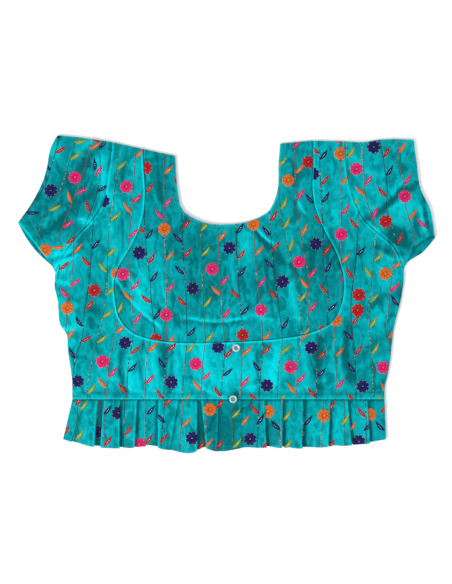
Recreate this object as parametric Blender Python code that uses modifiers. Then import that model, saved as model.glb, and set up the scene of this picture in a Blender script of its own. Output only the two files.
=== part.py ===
"""A choli blouse laid flat, front up: princess-cut front, short sleeves and a pleated peplum.

Lengths are in millimetres here and become metres where a mesh is made. The origin is
under the middle of the garment, +X is to the right seen from above, +Y is towards the
neck and +Z is up from the table. Left and right mean the viewer's.
"""

import math

import bmesh
import bpy
import numpy as np

MM = 0.001

# Driving sizes
WALL = 1.1
SEAM_GAP = 0.3
LAYER = WALL + SEAM_GAP
FRONT_TOP = LAYER + WALL
MOST_RELIEF = 3.3
WAIST_Y = -137.5
LAP_EDGE_X = 19.5
UNDERLAP_X = 5.0
LAP_RAMP = 11.0
SEAM_LIP = 0.5
SEAM_LIP_WIDTH = 2.5
BUTTON_DIAMETER = 10.0
BUTTON_THICKNESS = 2.2

# Edges and seams, each a list of x, y rows that a smooth line runs through
NECK = (
    (-67, 180), (-66, 161), (-63, 131), (-60, 115), (-55, 107), (-43, 99), (-24, 92),
    (0, 90.5), (27, 94), (43, 100), (54, 107), (59, 114), (63, 123), (67, 138), (68, 168), (70, 196),
)
PRINCESS = (
    (-109, 189), (-108, 163), (-106, 135), (-110, 96), (-120, 70), (-129, 54), (-140, 36),
    (-146, 18), (-145, -8), (-140, -30), (-127, -47), (-102, -58), (-67, -63), (-23, -63.5),
    (UNDERLAP_X, -62.7), (LAP_EDGE_X, -62), (71, -58), (108, -51), (139, -35), (150, -12),
    (153, 16), (144, 51), (126, 86), (115, 115), (112, 135), (113, 168), (113, 200),
)
ARMHOLE_LEFT = (
    (-149, 198), (-151, 178), (-154, 159), (-157, 135), (-166, 109), (-177, 94), (-193, 77),
    (-210, 54), (-223, 28),
)
ARMHOLE_RIGHT = ((154, 199), (155, 172), (162, 134), (177, 99), (201, 76), (218, 61), (231, 33))
SIDE_LEFT = (
    (-223, 28), (-224, 10), (-220, -8), (-215, -43), (-209, -51), (-207, -71), (-201, -118),
    (-201, WAIST_Y),
)
SIDE_RIGHT = ((231, 33), (231, 20), (228, -3), (219, -40), (211, -100), (206, -124), (206, WAIST_Y))
SLEEVE_FOLD_LEFT = (
    (-149, 198), (-168, 201), (-199, 205), (-221, 207), (-229, 191), (-235, 159), (-252, 122),
    (-272, 93),
)
SLEEVE_FOLD_RIGHT = (
    (154, 199), (179, 198), (198, 201), (223, 202), (244, 201), (248, 170), (254, 134),
    (264, 115), (272, 73),
)
CUFF_LEFT = ((-272, 93), (-261, 73), (-250, 58), (-227, 36))
CUFF_RIGHT = ((272, 73), (254, 53), (241, 45), (235, 41))
HEM = (
    (-213, -191), (-171, -199), (-138, -201), (-90, -200), (-76, -204), (-46, -207), (-27, -201),
    (-13, -206), (19, -202), (49, -200), (98, -201), (133, -199), (161, -197), (182, -195), (208, -191),
)
PEPLUM_SIDE_LEFT = (-201, -213)
PEPLUM_SIDE_RIGHT = (206, 208)

# Places where an edge table has a sharp corner
FOLD_CORNER_LEFT = 3
FOLD_CORNER_RIGHT = 4

# Steps between matched rows of the seams, as (row, row, ..) and (steps, ..)
PRINCESS_ROWS = (0, 4, 9, 14, 15, 18, 22, 26)
PRINCESS_STEPS = (8, 7, 12, 1, 11, 7, 8)
NECK_ROWS = (0, 3, 5, 7, 8, 9, 12, 15)
NECK_STEPS_FRONT = PRINCESS_STEPS
ARMHOLE_STEPS = 8
SIDE_STEPS = 7
ACROSS_BIB = 7
ACROSS_SIDE = 6
ALONG_SLEEVE = 6
ACROSS_WAIST_BACK = 12

# How far the sleeve's upper layer stops short of its lower one at the cuff
CUFF_SHOW_LEFT = 5.0
CUFF_SHOW_RIGHT = 11.0

# Broad fullness of the upper cloth: name, x, y, radius across, radius up, height
FULLNESS = (
    ("bust left", -92, 62, 62, 55, 1.5),
    ("bust right", 98, 66, 60, 58, 1.5),
    ("band left", -110, -100, 75, 30, 1.0),
    ("band right", 110, -95, 75, 30, 1.1),
    ("side left", -176, 10, 34, 60, 1.2),
    ("side right", 186, 5, 34, 60, 1.4),
    ("sleeve left", -205, 140, 34, 42, 1.2),
    ("sleeve right", 215, 112, 30, 26, 2.4),
    ("underarm left", -214, 48, 13, 13, 2.2),
    ("shoulder right", 200, 172, 30, 22, 1.0),
)

# Creases, ridges above zero and troughs below: name, x, y to x, y, half width, height
CREASES = (
    ("dart left", -144, 20, -89, -40, 5, 0.9),
    ("dart right", 83, 74, 96, -36, 6, 0.7),
    ("neck drag right", 36, 90, 84, 36, 6, -0.7),
    ("bib bend", -54, -30, 24, -31, 6, 0.6),
    ("band tuck 1", -133, -66, -131, -128, 5, -0.8),
    ("band tuck 2", -110, -68, -107, -120, 5, -0.7),
    ("band tuck 3", -80, -70, -76, -128, 6, -0.9),
    ("band tuck 4", -47, -72, -45, -112, 5, -0.6),
    ("band tuck 5", 47, -72, 44, -124, 6, -0.8),
    ("band tuck 6", 84, -70, 86, -118, 5, -0.6),
    ("band tuck 7", 122, -62, 120, -126, 6, -0.8),
    ("band tuck 8", 158, -40, 163, -110, 7, -0.9),
    ("sleeve fold right", 182, 116, 234, 142, 6, -1.2),
    ("cuff ridge right", 253, 112, 258, 82, 5, 0.9),
    ("cap fold left", -165, 190, -196, 150, 7, -0.8),
    ("underarm fold left", -190, 60, -224, 44, 5, -0.9),
    ("underarm fold right", 196, 62, 226, 52, 5, -0.8),
    ("side drag left", -215, 6, -168, -22, 7, -0.7),
    ("side drag right", 222, 2, 178, -24, 7, -0.8),
)

# Pleats of the front peplum, left to right: name, x at the waist, x at the hem, the way
# the fold's edge faces (1 right, -1 left), its turn at the hem in degrees, its underlay
PLEATS_LEFT = (
    ("side slant", -188.0, -201.0, 1, 75, 0.6),
    ("strip left edge", -167.5, -171.5, 1, 165, 4.0),
    ("strip right edge", -160.5, -164.5, -1, 165, 4.0),
    ("second", -138.7, -138.7, 1, 168, 4.5),
    ("third", -115.9, -119.5, 1, 165, 4.0),
    ("fourth", -88.8, -89.8, -1, 165, 4.0),
    ("soft slant", -62.2, -73.6, 1, 62, 0.8),
    ("open wedge left", -38.0, -37.8, 1, 168, 4.5),
    ("open wedge right", -33.5, -26.5, -1, 160, 3.5),
    ("soft centre", -9.9, -11.6, 1, 70, 0.8),
)
PLEATS_RIGHT = (
    ("first", 49.6, 52.5, 1, 150, 2.5),
    ("second", 74.1, 72.8, 1, 165, 4.0),
    ("third", 101.4, 99.3, 1, 170, 5.0),
    ("fourth", 135.5, 132.8, 1, 168, 4.5),
    ("fifth", 158.1, 163.7, 1, 150, 2.5),
    ("sixth", 183.8, 187.2, 1, 150, 2.5),
)
PLEAT_RADIUS = 0.68
PLEAT_TURN_AT_WAIST = 34
PLEAT_ARC_STEPS = 4
PLEAT_RUN_STEPS = 4
PLEAT_CLEARANCE = 1.2
PEPLUM_ROWS = (0.0, 0.15, 0.45, 0.75, 1.0)
HEM_STEP = 1.6
BACK_HEM_SHORT = 3.0
BACK_PEPLUM_STEPS = 20

BUTTONS = (("button_upper", 12.6, -70.2), ("button_lower", 8.7, -136.8))

CLOTH_COLOUR = (0.0, 0.42, 0.44, 1.0)
BACK_COLOUR = (0.0, 0.36, 0.38, 1.0)
BUTTON_COLOUR = (0.72, 0.75, 0.78, 1.0)

# Points of the dense line between two rows of an edge table
FINE = 12


def clear_scene():
    for old in list(bpy.data.objects):
        bpy.data.objects.remove(old, do_unlink=True)


def new_material(name, colour, roughness, metallic=0.0):
    material = bpy.data.materials.new(name)
    material.use_nodes = True
    shader = material.node_tree.nodes["Principled BSDF"]
    shader.inputs["Base Color"].default_value = colour
    shader.inputs["Roughness"].default_value = roughness
    shader.inputs["Metallic"].default_value = metallic
    return material


def curved(rows):
    """A smooth line through the rows, with FINE points to each step."""
    rows = np.array(rows, float)
    chord = np.linalg.norm(np.diff(rows, axis=0), axis=1)
    at = np.concatenate([[0], np.cumsum(chord)])
    slope = np.gradient(rows, at, axis=0)
    part = np.linspace(0, 1, FINE, endpoint=False)[:, None]
    line = []
    for i, length in enumerate(chord):
        a, b = rows[i], rows[i + 1]
        ta, tb = slope[i] * length, slope[i + 1] * length
        line.append(
            (2 * part**3 - 3 * part**2 + 1) * a
            + (part**3 - 2 * part**2 + part) * ta
            + (3 * part**2 - 2 * part**3) * b
            + (part**3 - part**2) * tb
        )
    return np.vstack([*line, rows[-1:]])


def smooth_line(rows, corner=None):
    """A smooth line through the rows, with a sharp turn at the corner row if there is one."""
    if corner is None:
        return curved(rows)
    return np.vstack([curved(rows[: corner + 1])[:-1], curved(rows[corner:])])


def resampled(line, steps):
    """The line's points again, at even distances."""
    along = np.concatenate([[0], np.cumsum(np.linalg.norm(np.diff(line, axis=0), axis=1))])
    at = np.linspace(0, along[-1], steps + 1)
    return np.stack([np.interp(at, along, line[:, k]) for k in (0, 1)], axis=1)


def matched(rows, marks, steps, corner=None):
    """Points on the line through the rows, with so many steps between one marked row and the next."""
    line = smooth_line(rows, corner)
    legs = [
        resampled(line[a * FINE : b * FINE + 1], n)[:-1]
        for a, b, n in zip(marks, marks[1:], steps)
    ]
    return np.vstack([*legs, line[marks[-1] * FINE][None]])


def moved_left(line, by):
    """The line's points moved sideways, to the left of its direction."""
    along = np.gradient(line, axis=0)
    along /= np.linalg.norm(along, axis=1)[:, None]
    return line + by * np.stack([-along[:, 1], along[:, 0]], axis=1)


def relief(x, y):
    """Height of the upper cloth over a flat one at a place, from its fullness and creases."""
    height = 0.25
    for _, cx, cy, across, up, top in FULLNESS:
        height += top * math.exp(-(((x - cx) / across) ** 2) - ((y - cy) / up) ** 2)
    for _, xa, ya, xb, yb, width, top in CREASES:
        dx, dy = xb - xa, yb - ya
        part = ((x - xa) * dx + (y - ya) * dy) / (dx * dx + dy * dy)
        beyond = max(0.0, -part, part - 1) * math.hypot(dx, dy)
        off = abs((x - xa) * dy - (y - ya) * dx) / math.hypot(dx, dy)
        height += top * math.exp(-((off / width) ** 2) - (beyond / (1.5 * width)) ** 2)
    return min(max(height, 0.0), MOST_RELIEF)


def smooth_step(x, low, high):
    part = min(max((x - low) / (high - low), 0.0), 1.0)
    return part * part * (3 - 2 * part)


def lap_rise(x):
    """How far the left front rises so as to lie on the right one."""
    return LAYER * smooth_step(x, UNDERLAP_X - 2 - LAP_RAMP, UNDERLAP_X - 2)


def edge_parts(width, steps, lip=SEAM_LIP_WIDTH):
    """Places across a panel from 0 to 1, with one close to each edge for the seam's lip."""
    near = min(lip / width, 0.2)
    return [0.0, *np.linspace(near, 1 - near, steps - 1), 1.0]


def ruled_sheet(inner, outer, steps, top_of):
    """A grid of points on straight rulings from one line to the other, at the heights that top_of gives."""
    rows = []
    for a, b in zip(inner, outer):
        width = float(np.linalg.norm(b - a))
        row = []
        for part in edge_parts(width, steps):
            x, y = a + part * (b - a)
            row.append((x, y, top_of(x, y, part * width, (1 - part) * width)))
        rows.append(row)
    return np.array(rows)


def quads(rows, columns, first, wrap):
    """The faces of a grid of vertices that starts at the vertex numbered first."""
    count = columns if wrap else columns - 1
    return [
        (
            first + i * columns + j,
            first + i * columns + (j + 1) % columns,
            first + (i + 1) * columns + (j + 1) % columns,
            first + (i + 1) * columns + j,
        )
        for i in range(rows - 1)
        for j in range(count)
    ]


def wall_object(name, upper, lower, material, collection, wrap=False):
    """A closed wall between two grids of points. A wrapped one is a tube that is open at both ends."""
    rows, columns = upper.shape[:2]
    second = rows * columns
    faces = quads(rows, columns, 0, wrap)
    faces += [face[::-1] for face in quads(rows, columns, second, wrap)]

    def rim(line):
        pairs = list(zip(line, line[1:]))
        return [(a, a + second, b + second, b) for a, b in pairs]

    start = list(range(columns))
    end = [(rows - 1) * columns + j for j in range(columns)]
    if wrap:
        faces += rim([*start, start[0]]) + [f[::-1] for f in rim([*end, end[0]])]
    else:
        left = [i * columns for i in range(rows)]
        right = [i * columns + columns - 1 for i in range(rows)]
        faces += rim(start) + [f[::-1] for f in rim(end)]
        faces += [f[::-1] for f in rim(left)] + rim(right)
    mesh = bpy.data.meshes.new(name)
    points = np.vstack([upper.reshape(-1, 3), lower.reshape(-1, 3)]) * MM
    mesh.from_pydata(points.tolist(), [], faces)
    made = bmesh.new()
    made.from_mesh(mesh)
    bmesh.ops.recalc_face_normals(made, faces=made.faces)
    made.to_mesh(mesh)
    made.free()
    mesh.shade_smooth()
    mesh.set_sharp_from_angle(angle=math.radians(40))
    mesh.materials.append(material)
    piece = bpy.data.objects.new(name, mesh)
    collection.objects.link(piece)
    return piece


def panel_object(name, upper, material, collection):
    """A cloth wall under a grid of upper points."""
    lower = upper.copy()
    lower[:, :, 2] -= WALL
    return wall_object(name, upper, lower, material, collection)


def lip(distance):
    """The raised turned edge beside a seam."""
    return SEAM_LIP * math.exp(-((distance / (1.6 * SEAM_LIP_WIDTH)) ** 2))


def princess_line():
    return matched(PRINCESS, PRINCESS_ROWS, PRINCESS_STEPS)


def armhole_line(rows):
    return matched(rows, (0, len(rows) - 1), (ARMHOLE_STEPS,))


def side_line(rows):
    return matched(rows, (0, len(rows) - 1), (SIDE_STEPS,))


def waist_line(start_x, end_x, steps):
    """The body's edge at the waist seam."""
    x = np.linspace(start_x, end_x, steps + 1)
    return np.stack([x, np.full(steps + 1, WAIST_Y + SEAM_GAP / 2)], axis=1)


def bib_top(x, y, from_neck, from_seam):
    return FRONT_TOP + relief(x, y) + 0.6 * lip(from_neck)


def side_panel_top(x, y, from_seam, from_edge):
    return FRONT_TOP + relief(x, y) + lip(from_seam)


def left_panel_top(x, y, from_seam, from_edge):
    return side_panel_top(x, y, from_seam, from_edge) + lap_rise(x)


def make_front_bib(material, collection):
    inner = matched(NECK, NECK_ROWS, NECK_STEPS_FRONT)
    outer = moved_left(princess_line(), SEAM_GAP / 2)
    return panel_object(
        "front_bib", ruled_sheet(inner, outer, ACROSS_BIB, bib_top), material, collection
    )


def outer_line(armhole, side, sign, waist_end, waist_steps):
    """A front piece's edge from the shoulder past the underarm and the side to its end at the waist."""
    arm = moved_left(armhole_line(armhole), sign * SEAM_GAP / 2)
    down = side_line(side)[1:]
    waist = waist_line(down[-1][0], waist_end, waist_steps)
    return np.vstack([arm, down[:-1], waist])


def make_front_sides(material, collection):
    """The two front pieces, each with half of the band under the bust; the left laps over the right."""
    seam = princess_line()
    shoulder, underarm, under, lap, far, side, top = PRINCESS_STEPS
    inner = moved_left(seam[: shoulder + underarm + under + lap + 1], -SEAM_GAP / 2)
    outer = outer_line(ARMHOLE_LEFT, SIDE_LEFT, 1, LAP_EDGE_X, under + lap)
    left = panel_object(
        "front_side_left",
        ruled_sheet(inner, outer, ACROSS_SIDE, left_panel_top),
        material,
        collection,
    )
    inner = moved_left(seam[shoulder + underarm + under :], -SEAM_GAP / 2)[::-1]
    outer = outer_line(ARMHOLE_RIGHT, SIDE_RIGHT, -1, UNDERLAP_X, lap + far)
    right = panel_object(
        "front_side_right",
        ruled_sheet(inner, outer, ACROSS_SIDE, side_panel_top),
        material,
        collection,
    )
    return left, right


def make_back_body(material, collection):
    """The whole back, cut in one: flat on the table from the shoulders to the waist."""
    steps = (ARMHOLE_STEPS, SIDE_STEPS, ACROSS_WAIST_BACK, SIDE_STEPS, ARMHOLE_STEPS)
    inner = matched(NECK, (0, 4, 6, 8, 11, 15), steps)
    left = moved_left(armhole_line(ARMHOLE_LEFT), SEAM_GAP / 2)
    right = moved_left(armhole_line(ARMHOLE_RIGHT), -SEAM_GAP / 2)[::-1]
    down, up = side_line(SIDE_LEFT)[1:], side_line(SIDE_RIGHT)[::-1][:-1]
    waist = waist_line(down[-1][0], up[0][0], ACROSS_WAIST_BACK)
    outer = np.vstack([left, down[:-1], waist, up[1:], right])
    sheet = ruled_sheet(inner, outer, 2, lambda x, y, a, b: WALL)
    return panel_object("back_body", sheet, material, collection)


def between_edges(arm, cuff, fold, under):
    """Points of a patch whose four edges are given: arm to cuff along the first index, fold to
    underarm along the second."""
    u = np.linspace(0, 1, len(fold))[:, None, None]
    w = np.linspace(0, 1, len(arm))[None, :, None]
    edges = (1 - u) * arm[None] + u * cuff[None] + (1 - w) * fold[:, None] + w * under[:, None]
    corners = (
        (1 - u) * (1 - w) * arm[0] + (1 - u) * w * arm[-1] + u * (1 - w) * cuff[0] + u * w * cuff[-1]
    )
    return edges - corners


def sleeve_layer(patch, stop_short):
    """The patch drawn back from the cuff, most at the middle of the cuff's edge."""
    rows, columns = patch.shape[:2]
    drawn = patch.copy()
    for j in range(columns):
        line = patch[:, j]
        along = np.concatenate([[0], np.cumsum(np.linalg.norm(np.diff(line, axis=0), axis=1))])
        short = stop_short * math.sin(math.pi * j / (columns - 1))
        at = np.linspace(0, 1, rows) * max(along[-1] - short, 0.5 * along[-1])
        drawn[:, j] = np.stack([np.interp(at, along, line[:, k]) for k in (0, 1)], axis=1)
    return drawn


def sleeve_ring(over, beneath, inset, top_drop, bottom):
    """One section of the sleeve's wall: over the top layer, round the underarm fold and back below."""
    across = over[-1] - over[0]
    across /= np.linalg.norm(across)
    top = [(x, y, FRONT_TOP + relief(x, y) - top_drop) for x, y in over]
    base = [(x, y, bottom) for x, y in beneath[::-1]]
    middle = 0.5 * (FRONT_TOP + 0.25)
    for line, first in ((top, 1), (base, -1)):
        for end, way in ((0, first), (-1, -first)):
            x, y, z = line[end]
            step = way * (0.7 + inset)
            line[end] = (x + step * across[0], y + step * across[1], z)
    fold_a = (*(over[0] + inset * across), middle)
    fold_b = (*(over[-1] - inset * across), middle)
    return [fold_a, *top, fold_b, *base]


def make_sleeve(name, armhole, fold, corner, cuff, show, sign, material, collection):
    """A short set-in sleeve pressed flat: a tube open at the armhole and the cuff."""
    arm = moved_left(armhole_line(armhole), -sign * SEAM_GAP / 2)
    end = matched(cuff, (0, len(cuff) - 1), (ARMHOLE_STEPS,))
    before = ALONG_SLEEVE // 2
    edge = matched(fold, (0, corner, len(fold) - 1), (before, ALONG_SLEEVE - before), corner)
    edge[0] = arm[0]
    under = np.linspace(arm[-1], end[-1], ALONG_SLEEVE + 1)
    patch = between_edges(arm, end, edge, under)
    over = sleeve_layer(patch, show)
    outer = [sleeve_ring(a, b, 0.0, 0.0, 0.0) for a, b in zip(over, patch)]
    inner = [sleeve_ring(a, b, WALL, WALL, WALL) for a, b in zip(over, patch)]
    return wall_object(name, np.array(outer), np.array(inner), material, collection, wrap=True)


def fold_profile(turn, straight):
    """A pleat's edge from its upper run to its lower one, as x and height above the lower run.
    Two arcs and a straight piece turn the cloth under and back; x is 0 at the visible edge."""
    radius = PLEAT_RADIUS
    arc = [turn * i / PLEAT_ARC_STEPS for i in range(PLEAT_ARC_STEPS + 1)]
    reach = radius * math.sin(min(turn, math.pi / 2)) + WALL / 2
    upper = [(radius * math.sin(a) - reach, -radius * (1 - math.cos(a))) for a in arc]
    x, z = upper[-1]
    x += straight * math.cos(turn)
    z -= straight * math.sin(turn)
    lower = [
        (
            x + radius * (math.sin(turn) - math.sin(turn - a)),
            z - radius * (math.cos(turn - a) - math.cos(turn)),
        )
        for a in arc
    ]
    path = upper + lower
    return [(px, pz - path[-1][1]) for px, pz in path]


def pleat_at(pleat, down):
    """The pleat's path at a share of the way from waist to hem."""
    _, waist_x, hem_x, faces, turn_hem, underlay = pleat
    turn = PLEAT_TURN_AT_WAIST + (turn_hem - PLEAT_TURN_AT_WAIST) * down**0.7
    straight = underlay * smooth_step(turn, 100, 165) + 0.5
    path = fold_profile(math.radians(turn), straight)
    edge = waist_x + (hem_x - waist_x) * down
    if faces < 0:
        path = [(-x, z) for x, z in reversed(path)]
    return [(edge + x, z) for x, z in path]


def run_between(start, end, rise_from, rise_to):
    """The cloth between two pleats, rising or falling only where no fold lies under or over it."""
    (xa, za), (xb, zb) = start, end
    run = []
    for i in range(1, PLEAT_RUN_STEPS):
        x = xa + (xb - xa) * i / PLEAT_RUN_STEPS
        run.append((x, za + (zb - za) * smooth_step(x, rise_from, max(rise_to, rise_from + 0.5))))
    return run


def peplum_section(down, pleats, start, end, end_z):
    """Centre line of the pleated cloth across the peplum, as x and height above its lowest run.
    start and end are (x, length that stays level), and end_z is the height at the end."""
    (start_x, level_start), (end_x, level_end) = start, end
    line = [(start_x, 0.0)]
    if level_start > 0:
        line.append((start_x + level_start, 0.0))
    last_edge = line[-1][0]
    for pleat in pleats:
        path, faces = pleat_at(pleat, down), pleat[3]
        visible = max(x for x, _ in path) if faces > 0 else min(x for x, _ in path)
        if faces > 0:
            line += run_between(line[-1], path[0], last_edge + PLEAT_CLEARANCE, path[0][0])
        else:
            line += run_between(line[-1], path[0], last_edge, visible - PLEAT_CLEARANCE)
        line += path
        last_edge = visible
    level = end_x - level_end
    line += run_between(line[-1], (level, end_z), last_edge + PLEAT_CLEARANCE, level)
    line.append((level, end_z))
    if level_end > 0:
        line.append((end_x, end_z))
    return np.array(line)


def hem_y(x):
    """The hem's place at x, on a smooth line through the table."""
    line = smooth_line(HEM)
    return float(np.interp(x, line[:, 0], line[:, 1]))


def make_peplum_front(name, pleats, left, right, level, end_z, material, collection):
    """A pleated strip below the waist seam, with pressed folds that open towards the hem."""
    upper, lower = [], []
    middle = LAYER + WALL / 2
    top_y = WAIST_Y - SEAM_GAP / 2
    for down in PEPLUM_ROWS:
        start = left[0] + (left[1] - left[0]) * down
        end = right[0] + (right[1] - right[0]) * down
        line = peplum_section(down, pleats, (start, level[0]), (end, level[1]), end_z)
        along = np.gradient(line, axis=0)
        along /= np.linalg.norm(along, axis=1)[:, None]
        out = np.stack([-along[:, 1], along[:, 0]], axis=1) * WALL / 2
        rows = ([], [])
        for (x, z), (nx, nz) in zip(line, out):
            drop = hem_y(x) + HEM_STEP * (1 - min(z / 3.0, 1.0)) - top_y
            y = top_y + down * drop
            rows[0].append((x + nx, y, middle + z + nz))
            rows[1].append((x - nx, y, middle + z - nz))
        upper.append(rows[0])
        lower.append(rows[1])
    return wall_object(name, np.array(upper), np.array(lower), material, collection)


def make_peplum_back(material, collection):
    """The back's strip below the waist, pressed flat on the table."""
    rows = []
    for part in np.linspace(0, 1, BACK_PEPLUM_STEPS + 1):
        top_x = PEPLUM_SIDE_LEFT[0] + part * (PEPLUM_SIDE_RIGHT[0] - PEPLUM_SIDE_LEFT[0])
        hem_x = PEPLUM_SIDE_LEFT[1] + part * (PEPLUM_SIDE_RIGHT[1] - PEPLUM_SIDE_LEFT[1])
        rows.append(
            [
                (top_x, WAIST_Y - SEAM_GAP / 2, WALL),
                (hem_x, hem_y(hem_x) + BACK_HEM_SHORT, WALL),
            ]
        )
    return panel_object("peplum_back", np.array(rows), material, collection)


def make_button(name, x, y, material, collection):
    """A small round button with a raised rim and a sunken middle, turned about its own axis."""
    radius, thick = BUTTON_DIAMETER / 2, BUTTON_THICKNESS
    profile = (
        (0, 0.45 * thick), (0.45 * radius, 0.45 * thick), (0.62 * radius, 0.9 * thick),
        (0.8 * radius, thick), (0.95 * radius, 0.8 * thick), (radius, 0.5 * thick),
        (0.93 * radius, 0.15 * thick), (0.75 * radius, 0), (0, 0),
    )
    mesh = bpy.data.meshes.new(name)
    edges = [(i, i + 1) for i in range(len(profile) - 1)]
    mesh.from_pydata([(r * MM, 0, z * MM) for r, z in profile], edges, [])
    mesh.materials.append(material)
    button = bpy.data.objects.new(name, mesh)
    seat = max(
        left_panel_top(x + radius * math.cos(a), y + radius * math.sin(a), 0, 0)
        for a in np.linspace(0, 2 * math.pi, 12, endpoint=False)
    )
    button.location = (x * MM, y * MM, (seat + SEAM_GAP) * MM)
    turned = button.modifiers.new("turned", "SCREW")
    turned.steps = turned.render_steps = 20
    turned.use_merge_vertices = True
    turned.merge_threshold = 1e-6
    turned.use_smooth_shade = True
    collection.objects.link(button)
    return button


def main():
    clear_scene()
    garment = bpy.data.collections.new("choli_blouse")
    bpy.context.scene.collection.children.link(garment)
    cloth = new_material("turquoise cloth", CLOTH_COLOUR, 0.5)
    back_cloth = new_material("turquoise back cloth", BACK_COLOUR, 0.55)
    pearl = new_material("pearl button", BUTTON_COLOUR, 0.25)
    make_back_body(back_cloth, garment)
    make_front_bib(cloth, garment)
    make_front_sides(cloth, garment)
    make_sleeve(
        "sleeve_left", ARMHOLE_LEFT, SLEEVE_FOLD_LEFT, FOLD_CORNER_LEFT, CUFF_LEFT,
        CUFF_SHOW_LEFT, 1, cloth, garment,
    )
    make_sleeve(
        "sleeve_right", ARMHOLE_RIGHT, SLEEVE_FOLD_RIGHT, FOLD_CORNER_RIGHT, CUFF_RIGHT,
        CUFF_SHOW_RIGHT, -1, cloth, garment,
    )
    make_peplum_back(back_cloth, garment)
    make_peplum_front(
        "peplum_front_left", PLEATS_LEFT, PEPLUM_SIDE_LEFT, (LAP_EDGE_X, LAP_EDGE_X),
        (0.0, LAP_EDGE_X - UNDERLAP_X + 2), LAYER, cloth, garment,
    )
    make_peplum_front(
        "peplum_front_right", PLEATS_RIGHT, (UNDERLAP_X, UNDERLAP_X), PEPLUM_SIDE_RIGHT,
        (LAP_EDGE_X - UNDERLAP_X + 2, 0.0), 0.0, cloth, garment,
    )
    for name, x, y in BUTTONS:
        make_button(name, x, y, pearl, garment)


main()
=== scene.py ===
"""Looks of the choli blouse: satin cloth shells, embroidered vines, stitching and buttons.

Lengths are in millimetres here and become metres where a mesh is made, as in the part's
own source. +X is to the viewer's right, +Y towards the neck, +Z up from the table.
"""

import math

import bmesh
import bpy
import numpy as np
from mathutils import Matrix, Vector


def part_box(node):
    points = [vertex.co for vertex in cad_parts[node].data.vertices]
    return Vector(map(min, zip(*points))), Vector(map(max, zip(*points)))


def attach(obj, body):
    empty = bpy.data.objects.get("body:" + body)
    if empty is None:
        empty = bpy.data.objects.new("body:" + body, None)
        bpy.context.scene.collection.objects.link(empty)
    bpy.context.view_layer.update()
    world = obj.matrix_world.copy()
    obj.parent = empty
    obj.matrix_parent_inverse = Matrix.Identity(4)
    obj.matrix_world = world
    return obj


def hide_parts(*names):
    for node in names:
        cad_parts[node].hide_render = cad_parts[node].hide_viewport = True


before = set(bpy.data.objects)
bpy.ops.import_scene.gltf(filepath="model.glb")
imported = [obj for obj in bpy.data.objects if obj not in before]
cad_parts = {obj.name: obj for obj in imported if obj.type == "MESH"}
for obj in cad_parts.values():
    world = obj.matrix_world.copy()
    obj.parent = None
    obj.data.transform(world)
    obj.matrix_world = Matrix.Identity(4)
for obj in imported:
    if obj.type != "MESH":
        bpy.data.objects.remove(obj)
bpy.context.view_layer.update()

bl_info = {
    "name": "Choli blouse looks",
    "version": (1, 0, 0),
    "blender": (4, 5, 0),
    "location": "View3D > Sidebar > Choli",
    "description": "Cloth, embroidery, stitching and buttons of a choli blouse laid flat",
    "category": "Object",
}

MM = 0.001

# Sizes shared with the part's source
WALL = 1.1
SEAM_GAP = 0.3
LAYER = WALL + SEAM_GAP
FRONT_TOP = LAYER + WALL
MOST_RELIEF = 3.3
WAIST_Y = -137.5
LAP_EDGE_X = 19.5
UNDERLAP_X = 5.0
LAP_RAMP = 11.0
LAP_RISE = 0.8
SEAM_LIP = 0.5
BUTTON_DIAMETER = 10.0
BUTTON_THICKNESS = 2.2
BACK_LIFT = 0.32
PEPLUM_TOP_Y = WAIST_Y - SEAM_GAP / 2
PEPLUM_MIDDLE = LAYER + WALL / 2
PEPLUM_DEPTH = 64.0

# How far each row of topstitching lies from its edge
WAIST_STITCH = 8.0
LAP_STITCH = 2.4
CUFF_STITCH = 11.0
HEM_STITCH = 7.5

# Edges and seams, each a list of x, y rows that a smooth line runs through
NECK = (
    (-67, 180), (-66, 161), (-63, 131), (-60, 115), (-55, 107), (-43, 99), (-24, 92),
    (0, 90.5), (27, 94), (43, 100), (54, 107), (59, 114), (63, 123), (67, 138),
    (68, 168), (70, 196),
)
PRINCESS = (
    (-109, 189), (-108, 163), (-106, 135), (-110, 96), (-120, 70), (-129, 54), (-140, 36),
    (-146, 18), (-145, -8), (-140, -30), (-127, -47), (-102, -58), (-67, -63), (-23, -63.5),
    (UNDERLAP_X, -62.7), (LAP_EDGE_X, -62), (71, -58), (108, -51), (139, -35), (150, -12),
    (153, 16), (144, 51), (126, 86), (115, 115), (112, 135), (113, 168), (113, 200),
)
ARMHOLE_LEFT = (
    (-149, 198), (-151, 178), (-154, 159), (-157, 135), (-166, 109), (-177, 94), (-193, 77),
    (-210, 54), (-223, 28),
)
ARMHOLE_RIGHT = ((154, 199), (155, 172), (162, 134), (177, 99), (201, 76), (218, 61), (231, 33))
SIDE_LEFT = (
    (-223, 28), (-224, 10), (-220, -8), (-215, -43), (-209, -51), (-207, -71), (-201, -118),
    (-201, WAIST_Y),
)
SIDE_RIGHT = ((231, 33), (231, 20), (228, -3), (219, -40), (211, -100), (206, -124), (206, WAIST_Y))
SLEEVE_FOLD_LEFT = (
    (-149, 198), (-168, 201), (-199, 205), (-221, 207), (-229, 191), (-235, 159), (-252, 122),
    (-272, 93),
)
SLEEVE_FOLD_RIGHT = (
    (154, 199), (179, 198), (198, 201), (223, 202), (244, 201), (248, 170), (254, 134),
    (264, 115), (272, 73),
)
CUFF_LEFT = ((-272, 93), (-261, 73), (-250, 58), (-227, 36))
CUFF_RIGHT = ((272, 73), (254, 53), (241, 45), (235, 41))
HEM = (
    (-213, -191), (-171, -199), (-138, -201), (-90, -200), (-76, -204), (-46, -207), (-27, -201),
    (-13, -206), (19, -202), (49, -200), (98, -201), (133, -199), (161, -197),
    (182, -195), (208, -191),
)
PEPLUM_SIDE_LEFT = (-201, -213)
PEPLUM_SIDE_RIGHT = (206, 208)
FOLD_CORNER_LEFT = 3
FOLD_CORNER_RIGHT = 4

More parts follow.
